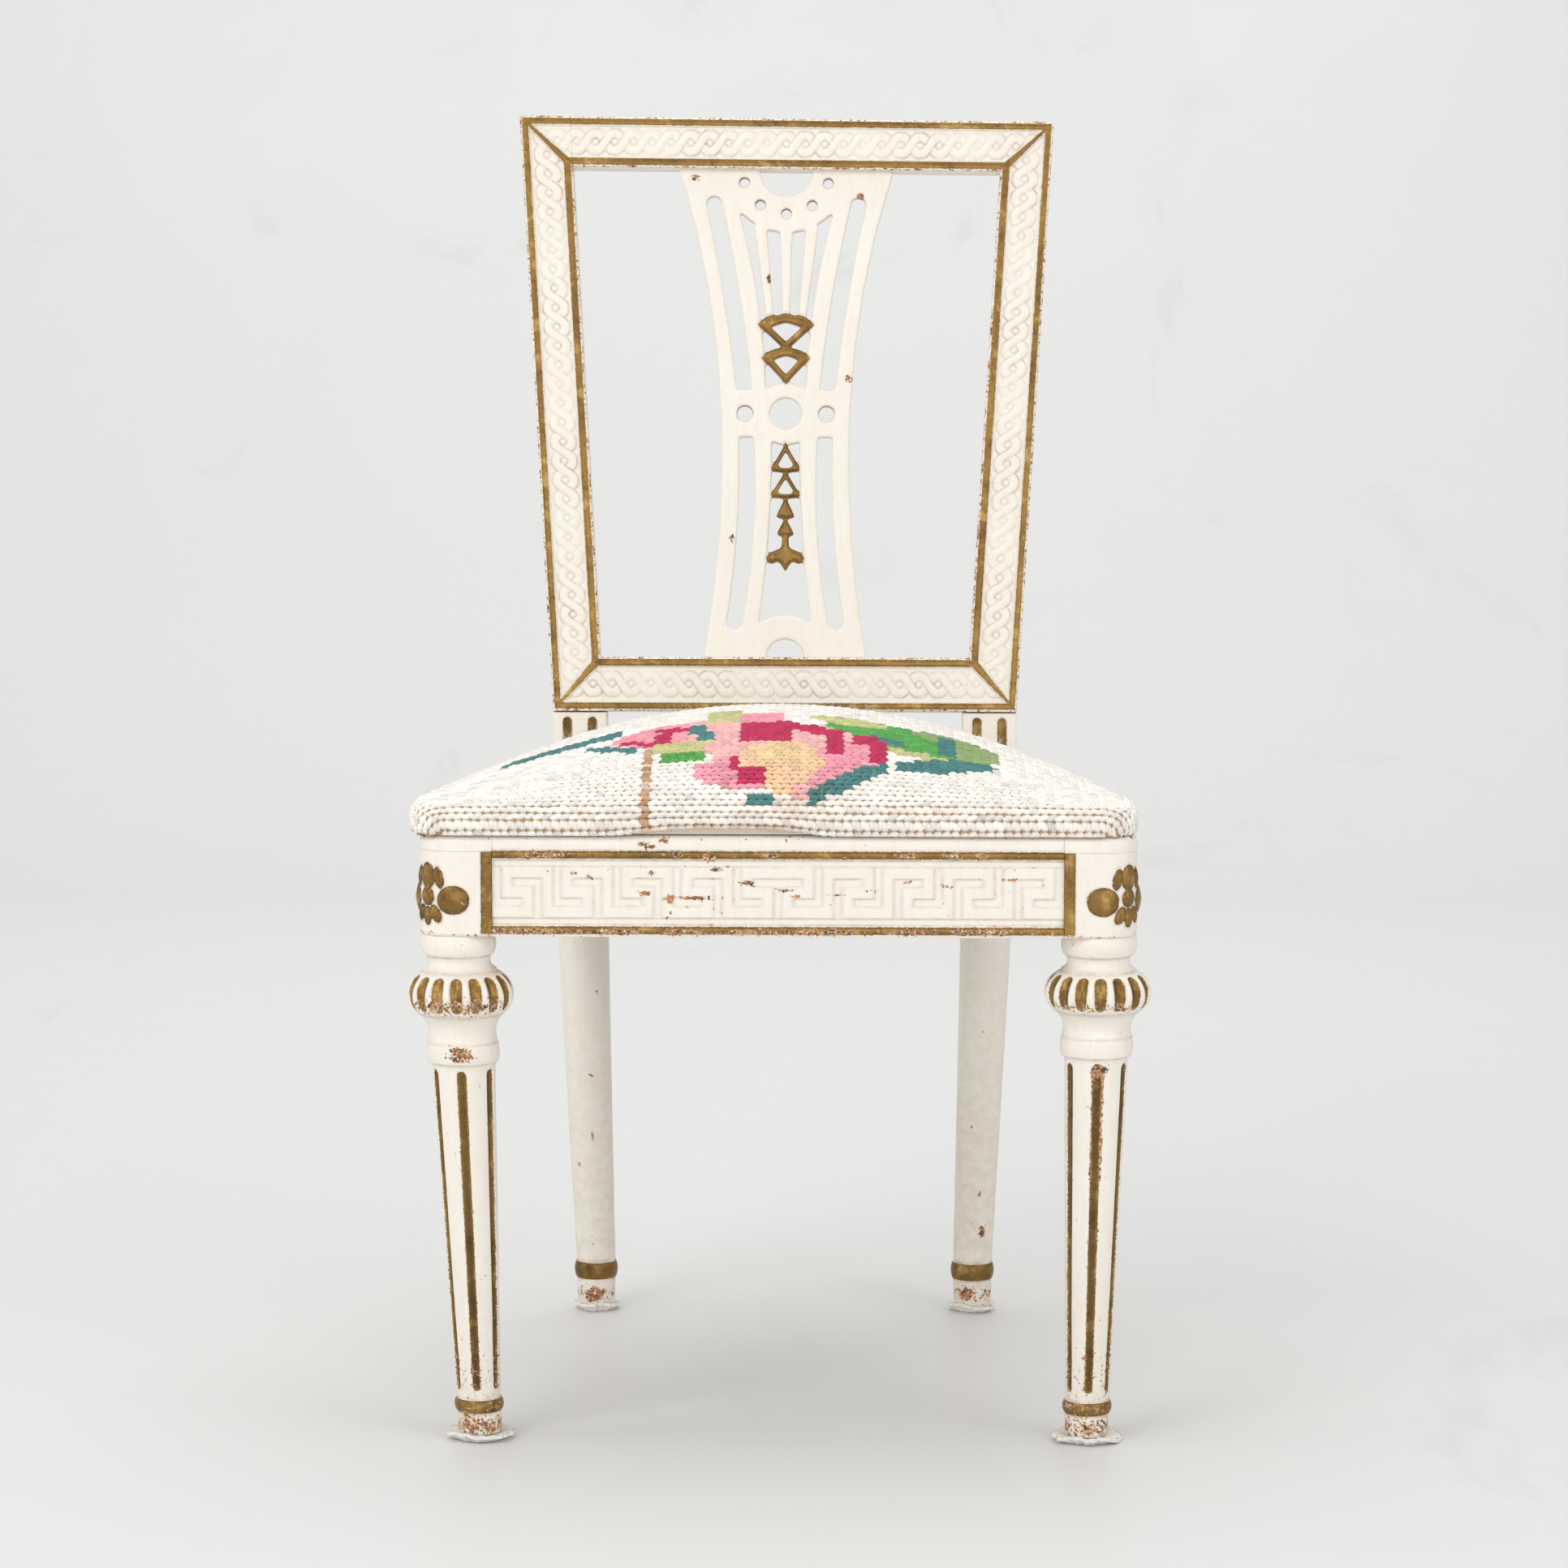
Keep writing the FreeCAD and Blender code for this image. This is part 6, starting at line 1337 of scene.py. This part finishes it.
def under_cushion(name, inset, material, slot, node, bottom):
    """A soft layer under the cover: the cushion's form drawn in, with an underside if bottom is given."""
    a, b = cloth_grid(90, 70)
    p, normal = cloth_frame(a, b)
    p[..., 2] -= front_lift(a, b) * smoothstep(-p[..., 2], -446, -430)
    p = p - normal * inset
    p[..., 2] = np.maximum(p[..., 2], RAIL_TOP + 0.4)
    p[..., 2] += 0.25 * wobble(p, 17.0, 61) * (p[..., 2] > RAIL_TOP + 1)
    build = Build()
    build.add(p)
    if bottom:
        q = p.copy()
        q[..., 2] = np.minimum(p[..., 2] - 0.4, bottom)
        build.add(q, flip=True)
    return build.object(name, material, "loose_seat", slot, [node])


STRAP_HALF, STRAP_END, STRAP_THICKNESS, THREAD_PITCH = 25.0, 9.0, 1.6, 3.4
STRAP_LEVEL, CROSSING_LEVEL, BATTEN_WIDTH, STRAP_RAMP = 434.0, 436.0, 45, 8
CROSS_STRAPS, LONG_STRAPS = (-85.0, 0.0, 85.0), (-99.0, -33.0, 33.0, 99.0)


def webbing(name, node, straps):
    """Woven bands from (centre, start, end, whether along x, places and levels along the band) rows."""
    build = Build()
    for centre, start, end, along_x, levels in straps:
        t, w = np.meshgrid(np.linspace(0, 1, 60), np.linspace(-STRAP_HALF, STRAP_HALF, 22), indexing="ij")
        run = start + (end - start) * t
        z = np.interp(run, *levels) + 0.15 * np.sin(w * 2 * math.pi / THREAD_PITCH)
        build.add(np.stack([run, centre + w, z] if along_x else [centre + w, run, z], -1), flip=not along_x)
    obj = build.object(name, JUTE, "loose_seat", "jute_webbing", [node])
    thicken(obj, STRAP_THICKNESS)


def both_webbings():
    front = -BLOCK_HALF + RAIL_LIP + SEAT_CLEARANCE
    rear = SEAT_DEPTH - SEAT_CLEARANCE - FRAME_REAR_GAP
    cross = []
    for offset in CROSS_STRAPS:
        y = (front + rear) / 2 + offset
        reach = side_x(y + STRAP_HALF, RAIL_LIP + SEAT_CLEARANCE) - STRAP_END
        cross.append((y, -reach, reach, True, ([-reach, reach], [STRAP_LEVEL, STRAP_LEVEL])))
    webbing("webbing_across", "webbing_crosswise", cross)
    inner = BATTEN_WIDTH + STRAP_RAMP
    places = [front, front + BATTEN_WIDTH, front + inner, rear - inner, rear - BATTEN_WIDTH, rear]
    levels = [STRAP_LEVEL, STRAP_LEVEL, CROSSING_LEVEL, CROSSING_LEVEL, STRAP_LEVEL, STRAP_LEVEL]
    lengthwise = [(x, front + STRAP_END, rear - STRAP_END, False, (places, levels)) for x in LONG_STRAPS]
    webbing("webbing_long", "webbing_lengthwise", lengthwise)


HESSIAN_INSET = 6.0


def hessian():
    low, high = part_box("seat_hessian")
    n = 60
    u, v = np.meshgrid(np.linspace(-1, 1, n), np.linspace(0, 1, n), indexing="ij")
    y = (low.y + (high.y - low.y) * v) * 1000 + SHIFT
    inset = RAIL_LIP + SEAT_CLEARANCE + HESSIAN_INSET
    p = np.stack([u * side_x(y, inset), y, np.full_like(y, low.z * 1000 + 0.5)], -1)
    p[..., 2] += 0.25 * wobble(p, 40.0, 3)
    build = Build()
    build.add(p)
    obj = build.object("hessian_sheet", HESSIAN, "loose_seat", "hessian", ["seat_hessian"])
    thicken(obj, 0.8)
    return obj


# Levels of the felt's upper and lower face, how much its rim thins, and how much of the curl it takes up.
FELT_TOP, FELT_FOOT, FELT_THIN, FELT_CURL = 3.9, 0.15, 0.3, 0.9


def felt_pad(node, radius, seed):
    low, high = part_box(node)
    cx, cy = (low.x + high.x) * 500, (low.y + high.y) * 500 + SHIFT
    if node.startswith("front"):
        cx += FOOT_SHIFT
    local = np.random.default_rng(seed)
    count, rings, fibres = 160, 22, 220
    turn = full_turn(count)
    edge = np.zeros(count)
    curl = np.zeros(count)
    for k in range(2, 30):
        edge += local.normal() * np.cos(k * turn + local.uniform(0, 6.28)) * 1.5 / k ** 0.7
    for k in range(1, 7):
        curl += local.normal() * np.cos(k * turn + local.uniform(0, 6.28)) / k
    curl = 3.2 + 2.8 * curl / np.abs(curl).max()
    rim = radius + np.clip(edge, -4.5, 1.4)

    def ring(reach, z):
        return np.stack([cx + reach * np.cos(turn), cy + reach * np.sin(turn), z], -1)

    t = np.linspace(0.02, 1, rings)[:, None]
    bow = smoothstep(t, 0.66, 1.0) * curl * FELT_CURL
    build = Build()
    thin = 1 - FELT_THIN * smoothstep(t, 0.75, 1.0)
    for level, flip in ((FELT_TOP * thin, False), (FELT_FOOT, True)):
        p = ring(t * rim, level + bow)
        p[..., 2] += 0.25 * wobble(p, 6.0, seed) * smoothstep(t, 0.5, 0.9)
        p[..., 2] = np.maximum(p[..., 2], 0.0)
        build.add(p, wrap_v=True, flip=flip)
    # The cut edge, with loose fibres that stand out of it.
    levels = (FELT_TOP * (1 - FELT_THIN), FELT_FOOT)
    rows = [ring(rim + 0.2, np.maximum(z + curl * FELT_CURL, 0.0)) for z in levels]
    build.add(np.stack(rows), wrap_v=True)
    steps = np.linspace(0, 1, 5)[:, None]
    for _ in range(fibres):
        at = local.uniform(0, 2 * math.pi)
        k = int(at / (2 * math.pi) * count) % count
        r = rim[k] - local.uniform(0, 2.0)
        z = max(0.6, curl[k] * FELT_CURL + local.uniform(0.2, 1.8))
        start = np.array([cx + r * math.cos(at), cy + r * math.sin(at), z])
        heading = at + local.normal() * 0.9
        length = local.uniform(1.0, 3.2)
        ahead = np.array([math.cos(heading), math.sin(heading), local.uniform(-0.2, 0.8)])
        path = start + steps * length * ahead
        path += (steps ** 2) * local.normal(size=3) * 0.8
        path[:, 2] = np.maximum(path[:, 2], 0.1)
        side = np.array([-math.sin(heading), math.cos(heading), 0.3]) * 0.09
        build.add(np.stack([path - side, path + side], 1))
    return build.object("felt_" + node.replace("_felt_pad", ""), FELT_CLOTH, "chair_frame", "felt", [node])


for leg_side in (1, -1):
    front_leg(leg_side)
    side_rail(leg_side)
    rear_leg(leg_side)
front_rail()
back_rail(True)
back_rail(False)
splat()
wool_chart = draw_rose()
cover(wool_chart)
stitches(wool_chart)
fuzz(wool_chart)
under_cushion("linen_lining", 2.2, LINEN, "linen", "seat_lining", None)
under_cushion("hair_stuffing", 4.2, HAIR, "stuffing", "seat_stuffing", 440.0)
for number, node_name in enumerate(("front_left", "front_right", "rear_left", "rear_right"), 51):
    felt_pad(node_name + "_felt_pad", 22.6 if node_name.startswith("front") else 16.7, number)
both_webbings()
hessian()


def dress(name, material, bevel):
    """Material and softened edges for a piece that is shown as the frame has it."""
    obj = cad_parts[name]
    obj.data.materials.clear()
    obj.data.materials.append(material)
    weld = obj.modifiers.new("weld", "WELD")
    weld.merge_threshold = 0.00001
    soft = obj.modifiers.new("soft", "BEVEL")
    soft.width, soft.segments, soft.limit_method = bevel, 2, "ANGLE"
    soft.angle_limit = math.radians(40)


ENDS, CORNERS = ("front", "rear", "right", "left"), ("front_right", "front_left", "rear_right", "rear_left")
PINE_PIECES = [name + "_corner_block" for name in CORNERS] + [name + "_seat_batten" for name in ENDS]
DRESSED = ((PAINT, 0.001, ["rear_seat_rail"]), (PAINT, 0.0003, ["seat_rail_pegs", "back_pegs"]),
           (PINE, 0.0008, PINE_PIECES), (IRON, 0.0002, ["corner_block_nails", "webbing_tacks"]))
for material, bevel, names in DRESSED:
    for node_name in names:
        dress(node_name, material, bevel)


# Floor, backdrop, light and camera

def backdrop():
    g = Graph("studio_floor")
    scuff = g.noise(3.0, 9, 0.62, g.coords((1.0, 0.35, 1.0)), 1.2)
    speck = g.noise(60.0, 6, 0.7)
    color = g.mix(g.step(scuff, 0.60, 0.72, 0.0, 0.30), (0.735, 0.735, 0.73), (0.60, 0.60, 0.595))
    color = g.mix(g.step(speck, 0.68, 0.74, 0.0, 0.25), color, (0.55, 0.54, 0.52))
    g.set(Base_Color=color, Roughness=g.step(scuff, 0.3, 0.7, 0.42, 0.6))
    turn = np.linspace(0, math.pi / 2, 16)
    wide, wall_y, bend, tall = 14.0, 2.6, 1.6, 5.0
    profile = [(-wide, 0.0), (wall_y, 0.0)]
    profile += [(wall_y + bend * math.sin(t), bend * (1 - math.cos(t))) for t in turn]
    profile += [(wall_y + bend, tall)]
    p = [(x, y, z) for y, z in profile for x in (-wide, wide)]
    mesh = bpy.data.meshes.new("floor")
    mesh.from_pydata(p, [], [(k, k + 1, k + 3, k + 2) for k in range(0, len(p) - 2, 2)])
    mesh.shade_smooth()
    mesh.materials.append(g.material)
    floor = bpy.data.objects.new("floor", mesh)
    bpy.context.scene.collection.objects.link(floor)


backdrop()


def soft_light(name, place, target, size, power):
    data = bpy.data.lights.new(name, "AREA")
    data.shape, data.size, data.size_y, data.energy = "RECTANGLE", size[0], size[1], power
    lamp = bpy.data.objects.new(name, data)
    lamp.location = place
    lamp.rotation_euler = (Vector(target) - Vector(place)).to_track_quat("-Z", "Y").to_euler()
    bpy.context.scene.collection.objects.link(lamp)


# Lights: name, place, target, size and power.
LIGHTS = (("key", (-1.6, -2.2, 2.6), (0, 0, 0.5), (1.6, 1.6), 30),
          ("fill", (2.2, -2.0, 1.7), (0, 0, 0.45), (1.8, 1.8), 19),
          ("top", (0.0, 0.6, 3.2), (0, 0.2, 0), (3.0, 2.4), 31),
          ("low", (0.2, -3.6, 0.9), (0, 0, 0.35), (2.4, 1.2), 23),
          ("wall", (0.0, 1.7, 2.7), (0, 4.2, 0.7), (5.0, 0.8), 31),
          ("left", (-2.6, -0.6, 0.7), (0, 0.3, 0.25), (1.2, 1.2), 10))
for light in LIGHTS:
    soft_light(*light)
world = bpy.data.worlds.new("studio")
bpy.context.scene.world = world
world.use_nodes = True
glow = world.node_tree.nodes["Background"].inputs
glow["Color"].default_value = (1.0, 0.995, 0.985, 1.0)
glow["Strength"].default_value = 0.6
bpy.context.scene.view_settings.view_transform = "Standard"

# The camera as fitted to the photograph: its place, its turns and its focal length in pixels.
FOCAL_PIXELS, PHOTO_PIXELS, SENSOR = 5638.98, 1932.0, 36.0
eye = Vector((0.0395, -3.1065 - SHIFT / 1000.0, 0.8060))
pitch, yaw, roll = 0.1118, 0.0115, 0.0018
right = Vector((math.cos(yaw), math.sin(yaw), 0))
forward = Vector((-math.sin(yaw) * math.cos(pitch), math.cos(yaw) * math.cos(pitch), -math.sin(pitch)))
up = Vector((-math.sin(yaw) * math.sin(pitch), math.cos(yaw) * math.sin(pitch), math.cos(pitch)))
right, up = right * math.cos(roll) + up * math.sin(roll), up * math.cos(roll) - right * math.sin(roll)
lens = bpy.data.cameras.new("camera")
lens.sensor_fit, lens.sensor_width, lens.sensor_height = "HORIZONTAL", SENSOR, SENSOR
lens.lens = SENSOR * FOCAL_PIXELS / PHOTO_PIXELS
lens.clip_start, lens.clip_end = 0.05, 40.0
camera = bpy.data.objects.new("camera", lens)
camera.matrix_world = Matrix(((right.x, up.x, -forward.x, eye.x), (right.y, up.y, -forward.y, eye.y),
                              (right.z, up.z, -forward.z, eye.z), (0, 0, 0, 1)))
bpy.context.scene.collection.objects.link(camera)
bpy.context.scene.camera = camera
